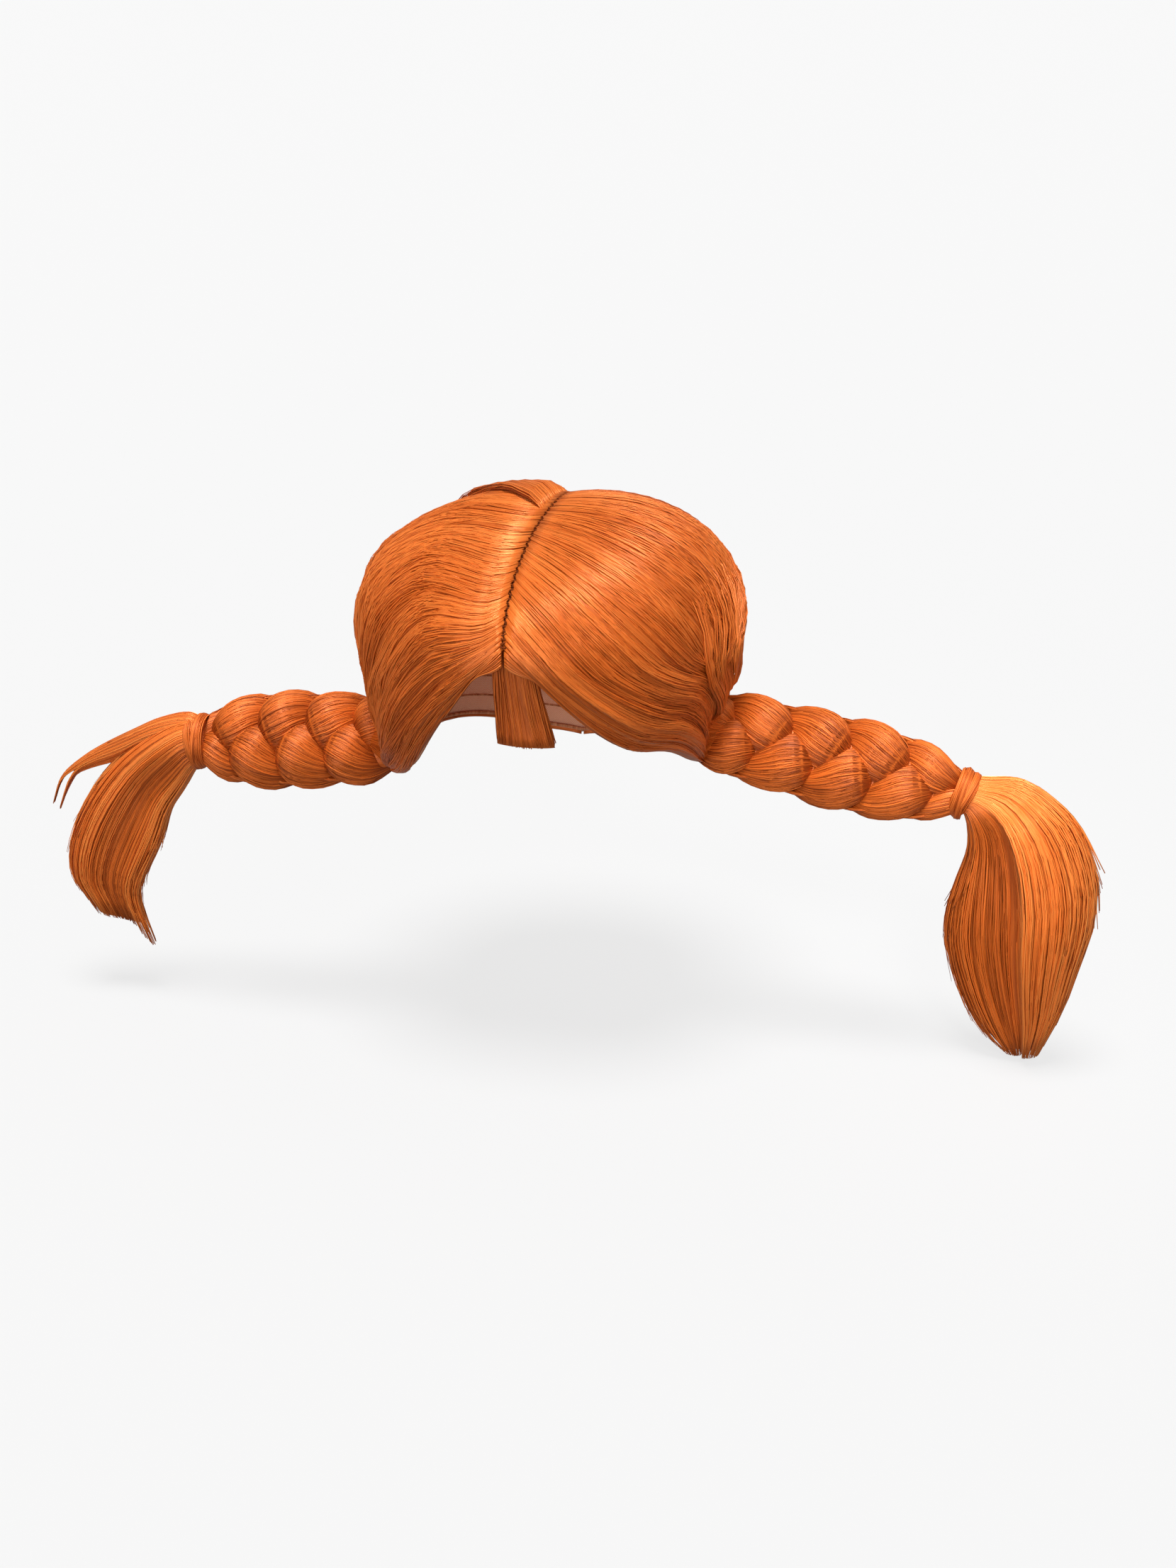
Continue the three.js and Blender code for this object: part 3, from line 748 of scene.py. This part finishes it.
def tie_frame(side):
    """The middle of a tie with its directions along, to the front and across, tilted on the plait."""
    line, _ = plait_line(side)
    middle, along, front, across = frames_on(line, np.array(1.0))
    tilt = math.radians(side["tilt"])
    return (
        middle,
        along * math.cos(tilt) + across * math.sin(tilt),
        front,
        across * math.cos(tilt) - along * math.sin(tilt),
    )


def tie_winding(side, rng):
    """The wound locks, each once round and a little over."""
    middle, along, front, across = tie_frame(side)
    paths, outward = [], []
    for shift, lean, width, raised in WINDINGS:
        place = 2 * spread(WIND_FIBRES, rng)[:, None] - 1
        turn = np.pi + 2 * np.pi * np.linspace(-WIND_OVER, 1 + WIND_OVER, WIND_STEPS)[None]
        wander = 0.25 * np.sin(turn + rng.uniform(0, 6, WIND_FIBRES)[:, None])
        radius = side["bound"] + raised + rng.normal(0, 0.12, (WIND_FIBRES, 1)) - 1.1 * place**2
        x = shift + place * width / 2 + lean * side["bound"] * np.sin(turn) * side["sign"] + wander
        out = np.cos(turn)[..., None] * front + np.sin(turn)[..., None] * across
        paths.append(middle + along * x[..., None] + out * (radius + 0 * x)[..., None])
        outward.append(out + 0 * x[..., None])
    paths = np.concatenate(paths)
    radii = rng.uniform(0.34, 0.5, len(paths))[:, None] * np.ones(WIND_STEPS)
    return paths, np.concatenate(outward), radii, rng.normal(0, 1, len(paths))


def tie_core(side):
    """The bound hair inside the winding."""
    middle, along, front, across = tie_frame(side)

    def place(share, round_share):
        turn = -2 * np.pi * round_share
        radius = side["bound"] - 0.7 - 2.0 * np.abs(2 * share - 1) ** 3
        out = np.cos(turn)[:, None] * front + np.sin(turn)[:, None] * across
        return middle + along * ((share - 0.5) * TIE_LENGTH)[:, None] + out * radius[:, None]

    return tube_piece(f"{side['name']}_tie_core", 10, 32, place)


# Loose ends


# How far the outer half lies in front and the face is hollowed, as shares of the thickness, how far the end
# parts in two and slants, how far the middle reaches and thins, and the number of fibres.
TAIL_FORMS = {
    "left": dict(fold=0.75, dish=0.0, fork=0.0, slant=0.0, reach=0.97, thin=0.1, fibres=640),
    "right": dict(fold=0.0, dish=0.6, fork=0.0, slant=0.06, reach=0.935, thin=0.1, fibres=440),
    "wisp": dict(fold=0.0, dish=0.0, fork=0.85, slant=0.0, reach=0.74, thin=0.6, fibres=130),
}
TAIL_STEPS = 18
TAIL_LOCKS = 15
DISH_PLACE = 0.15
TAIL_SIDES = {"left": "left", "right": "right", "wisp": "right"}


def tail_points(side, name, at, place, face, push=0.0):
    """Points of a loose end: at along it, place from its inner to its outer edge and face forwards."""
    rows = TAILS[name]
    keys = np.linspace(0, 1, len(rows["deep"]))
    line, _ = plait_line(side)
    edges = []
    for edge in ("inner", "outer"):
        out, up = smooth(keys, rows[edge + "_out"], at), smooth(keys, rows[edge + "_up"], at)
        edges.append(stack(side["sign"] * out, 0 * out, up))
    form = TAIL_FORMS[name]
    grown = step(at, 0.15, 0.4)
    fold = form["fold"] * (step(place, -0.04, 0.1) - 0.5) * grown
    dish = form["dish"] * np.exp(-(((place + DISH_PLACE) / 0.55) ** 2)) * grown * (face > 0)
    forward = (face * (1 - dish) + fold) * smooth(keys, rows["deep"], at) + push
    place = mix(place, 0.75 * np.sign(place), form["fork"] * step(at, 0.68, 0.9))
    p = line[-1] + mix(edges[0], edges[1], (place[..., None] + 1) / 2)
    p[..., 1] -= forward
    return p


def tail_fibres(side, name, rng):
    """Fibres on the outside of a loose end. Many near its edges are shorter and stand away at the end."""
    form = TAIL_FORMS[name]
    count, steps = form["fibres"], TAIL_STEPS
    turns = np.linspace(0, 2 * np.pi, 721)
    arc = np.concatenate([[0], np.cumsum(np.hypot(2.2 * np.cos(turns[1:]), np.sin(turns[1:])))])
    turn = np.interp(spread(count, rng), arc / arc[-1], turns)
    depth = rng.random(count)
    ring = 1 - 0.05 * depth
    place = np.sin(turn) * ring
    face = np.cos(turn) * ring
    outer = step(np.abs(place), 0.55, 0.9)
    short = rng.random(count) < 0.7 * outer
    end = np.where(short, rng.uniform(0.45, 0.97, count), 1 - 0.06 * rng.random(count) ** 2)
    end = end - form["slant"] * step(place, -0.9, -0.4)
    grid = np.linspace(0, 1, steps)[None]
    at = grid * end[:, None]
    fan = step(at, 0.05, 0.35)
    clump = Locks(TAIL_LOCKS, rng)
    lock, off = clump.find((place + 1) / 2)
    phase = rng.uniform(0, 2 * np.pi, count)[:, None]
    sway = (0.012 * np.sin(2.8 * np.pi * at + phase) - 0.012 * off[:, None]) * fan
    splay = (0.12 * rng.random(count) ** 2 * short * np.sign(place))[:, None] * grid**10
    push = (0.2 * clump.height[lock] - 0.25 * off**4)[:, None] * fan * np.sign(face)[:, None]
    paths = tail_points(side, name, at, place[:, None] + sway + splay, face[:, None] + 0 * at, push)
    outward = (paths - tail_points(side, name, at, 0 * at, 0 * at)) * (0.16, 1, 0.16)
    size = rng.uniform(0.3, 0.52, count)[:, None]
    taper = 1 - 0.45 * step(grid, 0.85, 1)
    # Painted shade: deeper fibres are painted darker.
    tones = rng.normal(0, 0.22, count) + 0.12 * clump.tone[lock] - 0.3 * depth
    # Painted shade: the inner layer behind the fold of the left end is painted darker.
    tones = tones - 0.7 * (form["fold"] > 0) * (place < 0)
    # Painted shade: the hollow of the right end's face is painted darker.
    tones = tones - 0.6 * (form["dish"] > 0) * np.exp(-(((place + DISH_PLACE) / 0.45) ** 2))
    return paths, outward, size * taper, tones


def tail_core(side, name):
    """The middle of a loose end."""
    form = TAIL_FORMS[name]

    def place(share, round_share):
        turn = -2 * np.pi * round_share * side["sign"]
        thin = 0.965 - 0.02 * step(share, 0.3, 0.6) - form["thin"] * step(share, 0.85, 1)
        push = -0.2 * np.sign(np.cos(turn))
        at = form["reach"] * share
        return tail_points(side, name, at, np.sin(turn) * thin, np.cos(turn) * thin, push)

    return tube_piece(f"{name}_tail_core", 48, 48, place)


# Fringe


FRINGE_TOP, FRINGE_BOTTOM = 13.0, -40.0
FRINGE_TOP_HALF, FRINGE_BOTTOM_HALF = 9.8, 14.6
FRINGE_SHIFT, FRINGE_DRIFT = 2.0, 6.5
FRINGE_FRONT, FRINGE_BACK = -87.0, -83.0
FRINGE_FIBRES = 300
FRINGE_STEPS = 10
FRINGE_LOCKS = 7
FRINGE_CURVE = 1.5
FRINGE_FLARE = 1.5


def fringe_across(down, place):
    """Places across the fringe, which widens and drifts aside on its way down."""
    bent = down**FRINGE_FLARE
    return FRINGE_SHIFT + FRINGE_DRIFT * bent + mix(FRINGE_TOP_HALF, FRINGE_BOTTOM_HALF, bent) * place


def fringe_fibres(rng):
    """The short lock that hangs from inside the front of the cap, cut straight."""
    place = 2 * spread(FRINGE_FIBRES, rng) - 1
    depth = rng.random(FRINGE_FIBRES)
    locks = Locks(FRINGE_LOCKS, rng)
    lock, off = locks.find((place + 1) / 2)
    down = np.linspace(0, 1, FRINGE_STEPS)[None] * (1 - 0.03 * rng.random(FRINGE_FIBRES))[:, None]
    x = fringe_across(down, (place - 0.03 * off)[:, None])
    x = x + 0.35 * np.sin(2 * np.pi * down + rng.uniform(0, 6, FRINGE_FIBRES)[:, None])
    y = mix(FRINGE_FRONT, FRINGE_BACK, depth)[:, None] + FRINGE_CURVE * place[:, None] ** 2
    y = y + 0.5 * (off**4)[:, None]
    z = mix(FRINGE_TOP, FRINGE_BOTTOM, down) + 2 * down * place[:, None] ** 2
    paths = stack(x, y, z)
    outward = np.broadcast_to(np.array([0.0, -1.0, 0.0]), paths.shape)
    taper = 1 - 0.5 * step(np.linspace(0, 1, FRINGE_STEPS), 0.8, 1)
    radii = rng.uniform(0.28, 0.44, FRINGE_FIBRES)[:, None] * taper
    # Painted shade: deeper fibres are painted darker.
    tones = 0.15 * locks.tone[lock] + rng.normal(0, 0.25, FRINGE_FIBRES) - 0.35 * depth
    return paths, outward, radii, tones


def fringe_core():
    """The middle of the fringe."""

    def place(down, round_share):
        turn = 2 * np.pi * round_share
        at = 0.985 * down
        x = fringe_across(at, 0.97 * np.sin(turn))
        y = (FRINGE_FRONT + FRINGE_BACK) / 2 - 0.85 * (FRINGE_BACK - FRINGE_FRONT) / 2 * np.cos(turn)
        return stack(x, y + FRINGE_CURVE * np.sin(turn) ** 2, mix(FRINGE_TOP, FRINGE_BOTTOM, at))

    return tube_piece("fringe_core", 12, 36, place)


# Cap and parting


CAP_ROUND, CAP_DOWN = 96, 30


def cap_point(round_share, down_share, lift):
    """Points of the cap, down from the crown to its rim and round from the middle of the forehead."""
    degrees = 360 * round_share
    left = degrees <= 180
    edge = np.where(left[:, None], rim(SIDES["left"], degrees), rim(SIDES["right"], 360 - degrees))
    edge[:, 2] += RIM_INSET
    flat = np.hypot(edge[:, 0] / HALF_WIDTH, edge[:, 1] / HALF_DEPTH)
    whole = np.pi / 2 - np.arcsin(np.clip(edge[:, 2] / CROWN, 0, 1))
    arc = HALF_WIDTH * whole
    gone = down_share * (arc + np.maximum(0, -edge[:, 2]))
    turn = np.minimum(gone, arc) / HALF_WIDTH
    out = np.where(gone > arc, 1, np.maximum(np.sin(turn), 1e-5))
    height = np.where(gone > arc, arc - gone, CROWN * np.cos(turn))
    return on_dome(stack(edge[:, 0] / flat * out, edge[:, 1] / flat * out, height), lift)


def net_cap():
    def place(down_share, round_share):
        return cap_point(round_share, down_share, 0)

    return sheet_piece("net_cap", CAP_DOWN, CAP_ROUND, place, CAP_WALL, closed=True)


WEFT_ROWS = 14
WEFT_STEPS = 97
WEFT_RADIUS, HEM_RADIUS = 0.5, 0.9
WEFT_SINK = 0.2


def cap_wefts():
    """The rows of fibre sewn round the inside of the cap, and the hem along its rim."""
    rows = np.concatenate([np.linspace(0.3, 0.95, WEFT_ROWS), [0.995]])
    share = np.broadcast_to(np.linspace(0, 1, WEFT_STEPS)[None], (len(rows), WEFT_STEPS))
    down = np.broadcast_to(rows[:, None], share.shape)
    paths = cap_point(share.ravel(), down.ravel(), -WEFT_SINK).reshape(*share.shape, 3)
    outward = unit(paths - HEAD_MIDDLE)
    radii = np.full(share.shape, WEFT_RADIUS)
    radii[-1] = HEM_RADIUS
    return fibres("cap_wefts", paths, outward, radii, np.arange(len(rows)), sides=5, flatness=1.0)


SEAM_HALF = 1.0
SEAM_RISE = 0.2
STITCHES = 112
STITCH_STEPS = 7
STITCH_HALF, STITCH_RADIUS, STITCH_HIGH = 1.3, 0.34, 3.4
STITCH_LEAN = 0.0042


def part_strip():
    """The sewn strip at the bottom of the parting."""

    def place(along, across):
        at = mix(0.004, 0.996, along)
        p = parting(at, 1)
        x = (2 * across - 1) * SEAM_HALF
        rise = SEAM_RISE * (1 - 0.5 * (x / SEAM_HALF) ** 2)
        return on_dome(stack(x, p[:, 1], p[:, 2]), CAP_WALL + 0.8 + rise)

    return sheet_piece("part_strip", 120, 6, place, -1.0)


def part_stitches(rng):
    """Stitches over the strip, slanting to either side in turn."""
    along = np.linspace(0.01, 0.99, STITCHES)[:, None]
    share = np.linspace(0, 1, STITCH_STEPS)[None]
    lean = np.where(np.arange(STITCHES) % 2, 1, -1)[:, None]
    at = along + STITCH_LEAN * lean * (share - 0.5)
    p = parting(at, 1)
    x = (2 * share - 1) * STITCH_HALF + rng.normal(0, 0.12, (STITCHES, 1))
    lift = CAP_WALL + STITCH_HIGH - 1.2 * np.abs(2 * share - 1) ** 2.5 + 0 * at
    paths = on_dome(stack(x, p[..., 1], p[..., 2]), lift)
    outward = unit(paths - HEAD_MIDDLE)
    radii = STITCH_RADIUS * np.ones(at.shape)
    return fibres("part_stitches", paths, outward, radii, rng.random(STITCHES), sides=5, flatness=1.0)


# Finishes


class Value:
    """An output of a shader node, so that sums on it read as sums."""

    def __init__(self, finish, socket):
        self.finish, self.socket = finish, socket

    def sum(self, operation, a, b):
        return self.finish.node("Math", dict(operation=operation), {0: a, 1: b})

    def __add__(self, other):
        return self.sum("ADD", self, other)

    def __sub__(self, other):
        return self.sum("SUBTRACT", self, other)

    def __rsub__(self, other):
        return self.sum("SUBTRACT", other, self)

    def __mul__(self, other):
        return self.sum("MULTIPLY", self, other)

    def __pow__(self, other):
        return self.sum("POWER", self, other)

    __radd__ = __add__
    __rmul__ = __mul__


class Finish:
    """A material and the nodes that vary it."""

    def __init__(self, name, **constants):
        self.material = bpy.data.materials.new(name)
        self.material.use_nodes = True
        self.nodes = self.material.node_tree.nodes
        self.links = self.material.node_tree.links
        self.shader = next(n for n in self.nodes if n.type == "BSDF_PRINCIPLED")
        for socket, value in constants.items():
            self.shader.inputs[socket.replace("_", " ")].default_value = value

    def put(self, socket, value):
        if isinstance(value, Value):
            self.links.new(value.socket, socket)
        else:
            socket.default_value = value

    def node(self, kind, settings=None, sockets=None, out=0):
        """A node of any kind: its settings are set first, then its sockets are filled or linked."""
        made = self.nodes.new("ShaderNode" + kind)
        for name, value in (settings or {}).items():
            if name == "stops":
                ramp = made.color_ramp.elements
                while len(ramp) < len(value):
                    ramp.new(0.5)
                for element, (position, colour) in zip(ramp, value):
                    element.position = position
                    element.color = (*colour, 1)
            else:
                setattr(made, name, value)
        for name, value in (sockets or {}).items():
            self.put(made.inputs[name], value)
        return Value(self, made.outputs[out])

    def feed(self, **sockets):
        for name, value in sockets.items():
            self.put(self.shader.inputs[name.replace("_", " ")], value)

    def map(self):
        """The fibre map: tone across it, length along it."""
        return self.node("UVMap", dict(uv_map=FIBRE_MAP))

    def ramp(self, places, colours, tone):
        return self.node("ValToRGB", dict(stops=list(zip(places, colours))), {0: tone})

    def bump(self, height, strength, distance):
        return self.node("Bump", None, {"Strength": strength, "Distance": distance, "Height": height})

    def streaks(self, across, along, detail=3.0):
        """Noise drawn out along the fibres."""
        scaled = self.node("Mapping", None, {"Vector": self.map(), "Scale": (across, along, 1)})
        settings = dict(noise_dimensions="2D")
        sockets = {"Vector": scaled, "Scale": 1.0, "Detail": detail, "Roughness": 0.6}
        return self.node("TexNoise", settings, sockets)


SHEEN = dict(Metallic=0.2, Specular_IOR_Level=0.6, Specular_Tint=(1.0, 0.75, 0.58, 1))
MIDDLE_TONE = 0.475


def fibre_finish(name, colours, roughness=0.32, contrast=0.85, start_painted_shading=0.0, ends=0.0, fade=6):
    """Silky fibre: its tone goes across the map, with slow changes along a fibre, and painted shading at its
    start and its end, lighter for amounts above 0 and darker below.
    """
    finish = Finish(name, **SHEEN)
    flat = finish.node("SeparateXYZ", None, {0: finish.map()})
    drift = finish.streaks(40, 3)
    length = finish.node("SeparateXYZ", None, {0: finish.map()}, out=1)
    tone = (flat - 0.5) * contrast + MIDDLE_TONE + (drift - 0.5) * 0.5
    # Painted shading: the tone is raised or lowered towards each end of the fibre by the two amounts.
    tone = tone + (1 - length) ** fade * start_painted_shading + length**fade * ends
    colour = finish.ramp((0.0, 0.5, 1.0), colours, tone)
    finish.feed(Base_Color=colour, Roughness=roughness + (drift - 0.5) * 0.15)
    return finish.material


def bed_finish(name, across, colours):
    """Packed fibre between and under the strands, with fine and broad streaks along it."""
    finish = Finish(name, **SHEEN)
    fine = finish.streaks(across, 5, 4)
    broad = finish.streaks(across / 9, 2, 2)
    tone = fine * 0.8 + broad * 0.5 - 0.15
    colour = finish.ramp((0.2, 0.5, 0.8), colours, tone)
    bump = finish.bump(tone, 0.8, 0.0005)
    finish.feed(Base_Color=colour, Roughness=0.36 + fine * 0.1, Normal=bump)
    return finish.material


def net_finish():
    """Pinkish net: crossing threads with a little hair showing between them."""
    finish = Finish("net", Roughness=0.9)
    flat = finish.map()
    threads = []
    for turn in (0.7854, -0.7854):
        sockets = {"Vector": flat, "Rotation": (0, 0, turn), "Scale": (160, 420, 1)}
        turned = finish.node("Mapping", None, sockets)
        settings = dict(wave_type="BANDS", bands_direction="X", wave_profile="SIN")
        sockets = {"Vector": turned, "Scale": 0.5, "Distortion": 0.4}
        threads.append(finish.node("TexWave", settings, sockets, out=1))
    weave = finish.node("Math", dict(operation="MAXIMUM"), {0: threads[0], 1: threads[1]})
    colour = finish.ramp((0.35, 0.75), ((0.95, 0.36, 0.19), (1.0, 0.52, 0.33)), weave)
    bump = finish.bump(weave, 0.5, 0.0005)
    finish.feed(Base_Color=colour, Normal=bump, Roughness=0.95 - weave * 0.1)
    return finish.material


def thread_finish(name, dark, light):
    finish = Finish(name, Specular_IOR_Level=0.1)
    fine = finish.streaks(6, 260, 2)
    colour = finish.ramp((0.3, 0.7), (dark, light), fine)
    bump = finish.bump(fine, 0.5, 0.0003)
    finish.feed(Base_Color=colour, Roughness=0.7 + fine * 0.15, Normal=bump)
    return finish.material


# Colours from dark to light.
HAIR_COLOURS = (0.48, 0.085, 0.008), (0.72, 0.15, 0.017), (0.88, 0.225, 0.036)
# The dark plait colour serves the painted crease shade at the ends and on the crease side of each lens.
PLAIT_COLOURS = (0.3, 0.048, 0.004), (0.76, 0.16, 0.018), (0.94, 0.25, 0.042)
# The loose ends are the same fibre as the hair, painted lighter as painted light on their hanging faces; the
# dark stop serves the painted shade of the fold and the hollow.
TAIL_LIT_COLOURS = (0.3, 0.048, 0.004), (0.9, 0.2, 0.025), (1.0, 0.34, 0.07)
# The beds and cores below are the same fibre, painted darker than the strands as painted shade between and
# under them.
BED_COLOURS = (0.36, 0.06, 0.006), (0.6, 0.118, 0.012), (0.76, 0.175, 0.024)
TAIL_BED_COLOURS = (0.36, 0.06, 0.006), (0.66, 0.13, 0.014), (0.84, 0.2, 0.028)
# The hair is painted lighter near the parting, as a painted highlight, and a little darker towards the
# plait, as painted shade.
HAIR_FINISH = fibre_finish("hair", HAIR_COLOURS, start_painted_shading=0.15, ends=-0.1)
# The plait fibres are painted dark at both ends of each lens, as painted shade in the creases where the
# lenses dive under each other.
PLAIT_FINISH = fibre_finish("plait", PLAIT_COLOURS, 0.45, 0.6, start_painted_shading=-0.8, ends=-0.95, fade=3.5)
TAIL_FINISH = fibre_finish("tail", TAIL_LIT_COLOURS, contrast=0.7)
TIE_FINISH = fibre_finish("tie", HAIR_COLOURS, 0.5)
HAIR_BED = bed_finish("hair_bed", 380, BED_COLOURS)
PLAIT_BED = bed_finish("plait_bed", 45, BED_COLOURS)
TAIL_BED = bed_finish("tail_bed", 220, TAIL_BED_COLOURS)
SMALL_BED = bed_finish("small_bed", 90, BED_COLOURS)
NET_FINISH = net_finish()
WEFT_FINISH = thread_finish("weft", (0.42, 0.13, 0.05), (0.72, 0.3, 0.15))
STITCH_FINISH = thread_finish("stitch", (0.12, 0.022, 0.004), (0.3, 0.062, 0.012))


# The wig


SEED = 7


def build_wig():
    rng = np.random.default_rng(SEED)
    settle(net_cap(), "net", NET_FINISH, "cap")
    settle(cap_wefts(), "net", WEFT_FINISH)
    settle(part_strip(), "seam", STITCH_FINISH, "part_seam")
    settle(part_stitches(rng), "seam", STITCH_FINISH)
    lay("fringe_fibres", fringe_fibres(rng), "hair", HAIR_FINISH, "fringe")
    settle(fringe_core(), "hair", SMALL_BED)
    for name, side in SIDES.items():
        locks = Locks(HAIR_LOCKS, rng)
        lay(f"hair_{name}_fibres", hair_half(side, locks, rng), "hair", HAIR_FINISH, f"hair_{name}")
        settle(hair_bed(side), "hair", HAIR_BED)
        lay(f"hair_{name}_over", overlap_strands(side, rng), "hair", HAIR_FINISH)
        for strand in range(3):
            title = f"{name}_plait_{strand + 1}_fibres"
            node = f"{name}_braid_strand_{strand + 1}"
            lay(title, plait_lenses(side, strand, rng), "plait", PLAIT_FINISH, node)
            settle(lens_beds(side, strand), "plait", PLAIT_BED)
        settle(plait_core(side), "plait", PLAIT_BED)
        lay(f"{name}_tie_fibres", tie_winding(side, rng), "tie", TIE_FINISH, f"{name}_tie")
        settle(tie_core(side), "tie", SMALL_BED)
    for name, side_name in TAIL_SIDES.items():
        side = SIDES[side_name]
        nodes = [f"{name}_tail"] if name in SIDES else []
        lay(f"{name}_tail_fibres", tail_fibres(side, name, rng), "tail", TAIL_FINISH, *nodes)
        settle(tail_core(side, name), "tail", TAIL_BED)
    for name, side in SIDES.items():
        lay(f"hair_{name}_front", front_strands(side, rng), "hair", HAIR_FINISH)


# Studio


PHOTO_WIDTH, PHOTO_HEIGHT = 1659, 2212
PHOTO_SCALE = 0.349
HEAD_PIXEL = (772, 860)
AZIMUTH, ELEVATION = math.radians(12), math.radians(22)
DISTANCE = 1600.0
SENSOR = 36.0
FLOOR_RADIUS, FLOOR_GAP, FLOOR_GLOW = 30, 0.003, 0.748
WORLD_LIGHT, WALL_LIGHT = 0.28, 0.93
WHITE = (1, 1, 1, 1)


def studio_camera():
    """The photograph's view: its frame is centred on the camera's axis, with the head at its pixel."""
    right = Vector((math.cos(AZIMUTH), math.sin(AZIMUTH), 0))
    level = math.cos(ELEVATION)
    forward = Vector((-math.sin(AZIMUTH) * level, math.cos(AZIMUTH) * level, -math.sin(ELEVATION)))
    up = right.cross(forward)
    sideways = (PHOTO_WIDTH / 2 - HEAD_PIXEL[0]) * PHOTO_SCALE
    upwards = (HEAD_PIXEL[1] - PHOTO_HEIGHT / 2) * PHOTO_SCALE
    place = Vector((0, 0, -CROWN)) + right * sideways + up * upwards - forward * DISTANCE
    data = bpy.data.cameras.new("camera")
    data.sensor_fit = "VERTICAL"
    data.sensor_height = SENSOR
    data.lens = SENSOR * DISTANCE / (PHOTO_HEIGHT * PHOTO_SCALE)
    data.clip_end = 100
    camera = bpy.data.objects.new("camera", data)
    turn = Matrix((right, up, -forward)).transposed()
    camera.matrix_world = Matrix.Translation(place * MM) @ turn.to_4x4()
    bpy.context.collection.objects.link(camera)
    bpy.context.scene.camera = camera


def floor(level):
    """A wide pale floor."""
    deselect()
    bpy.ops.mesh.primitive_circle_add(vertices=64, radius=FLOOR_RADIUS, fill_type="NGON")
    piece = bpy.context.object
    piece.name = "floor"
    piece.data.transform(Matrix.Translation((0, 0, level)))
    finish = Finish("floor", Roughness=0.9, Base_Color=(0.1, 0.1, 0.1, 1), Emission_Strength=FLOOR_GLOW)
    finish.feed(Emission_Color=WHITE)
    piece.data.materials.append(finish.material)
    piece.visible_diffuse = False
    piece.visible_glossy = False
    piece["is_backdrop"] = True


def lamp(name, kind, energy, place, aim, **settings):
    data = bpy.data.lights.new(name, kind)
    data.energy = energy
    for key, value in settings.items():
        setattr(data, key, value)
    lamp_object = bpy.data.objects.new(name, data)
    lamp_object.location = place
    lamp_object.rotation_euler = (Vector(aim) - Vector(place)).to_track_quat("-Z", "Y").to_euler()
    bpy.context.collection.objects.link(lamp_object)


def pale_world():
    """Soft light from all round, behind which the camera sees a pale wall."""
    world = bpy.data.worlds.new("studio")
    world.use_nodes = True
    nodes, links = world.node_tree.nodes, world.node_tree.links
    light = nodes["Background"]
    light.inputs["Color"].default_value = WHITE
    light.inputs["Strength"].default_value = WORLD_LIGHT
    wall = nodes.new("ShaderNodeBackground")
    wall.inputs["Strength"].default_value = WALL_LIGHT
    wall.inputs["Color"].default_value = WHITE
    seen = nodes.new("ShaderNodeMixShader")
    links.new(nodes.new("ShaderNodeLightPath").outputs["Is Camera Ray"], seen.inputs[0])
    links.new(light.outputs[0], seen.inputs[1])
    links.new(wall.outputs[0], seen.inputs[2])
    links.new(seen.outputs[0], nodes["World Output"].inputs["Surface"])
    return world


def studio():
    scene = bpy.context.scene
    scene.view_settings.view_transform = "Standard"
    scene.view_settings.look = "None"
    scene.world = pale_world()
    middle = (0, 0, -0.1)
    lamp("key", "SUN", 3.65, (0.0, -0.4, 1.9), middle, angle=math.radians(24))
    lamp("soft", "SUN", 0.3, (0.1, -0.5, 2.0), middle, angle=math.radians(120))
    lamp("front", "SUN", 1.45, (-0.5, -2.0, 0.1), middle, angle=math.radians(50))
    # A soft light on the left plait and its loose end.
    cone = dict(spot_size=math.radians(24), spot_blend=1.0, shadow_soft_size=0.1)
    lamp("side", "SPOT", 16, (0.45, -0.75, 0.4), (0.215, 0, -0.14), **cone)
    floor(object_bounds()[0].z - FLOOR_GAP)


build_wig()
studio_camera()
studio()
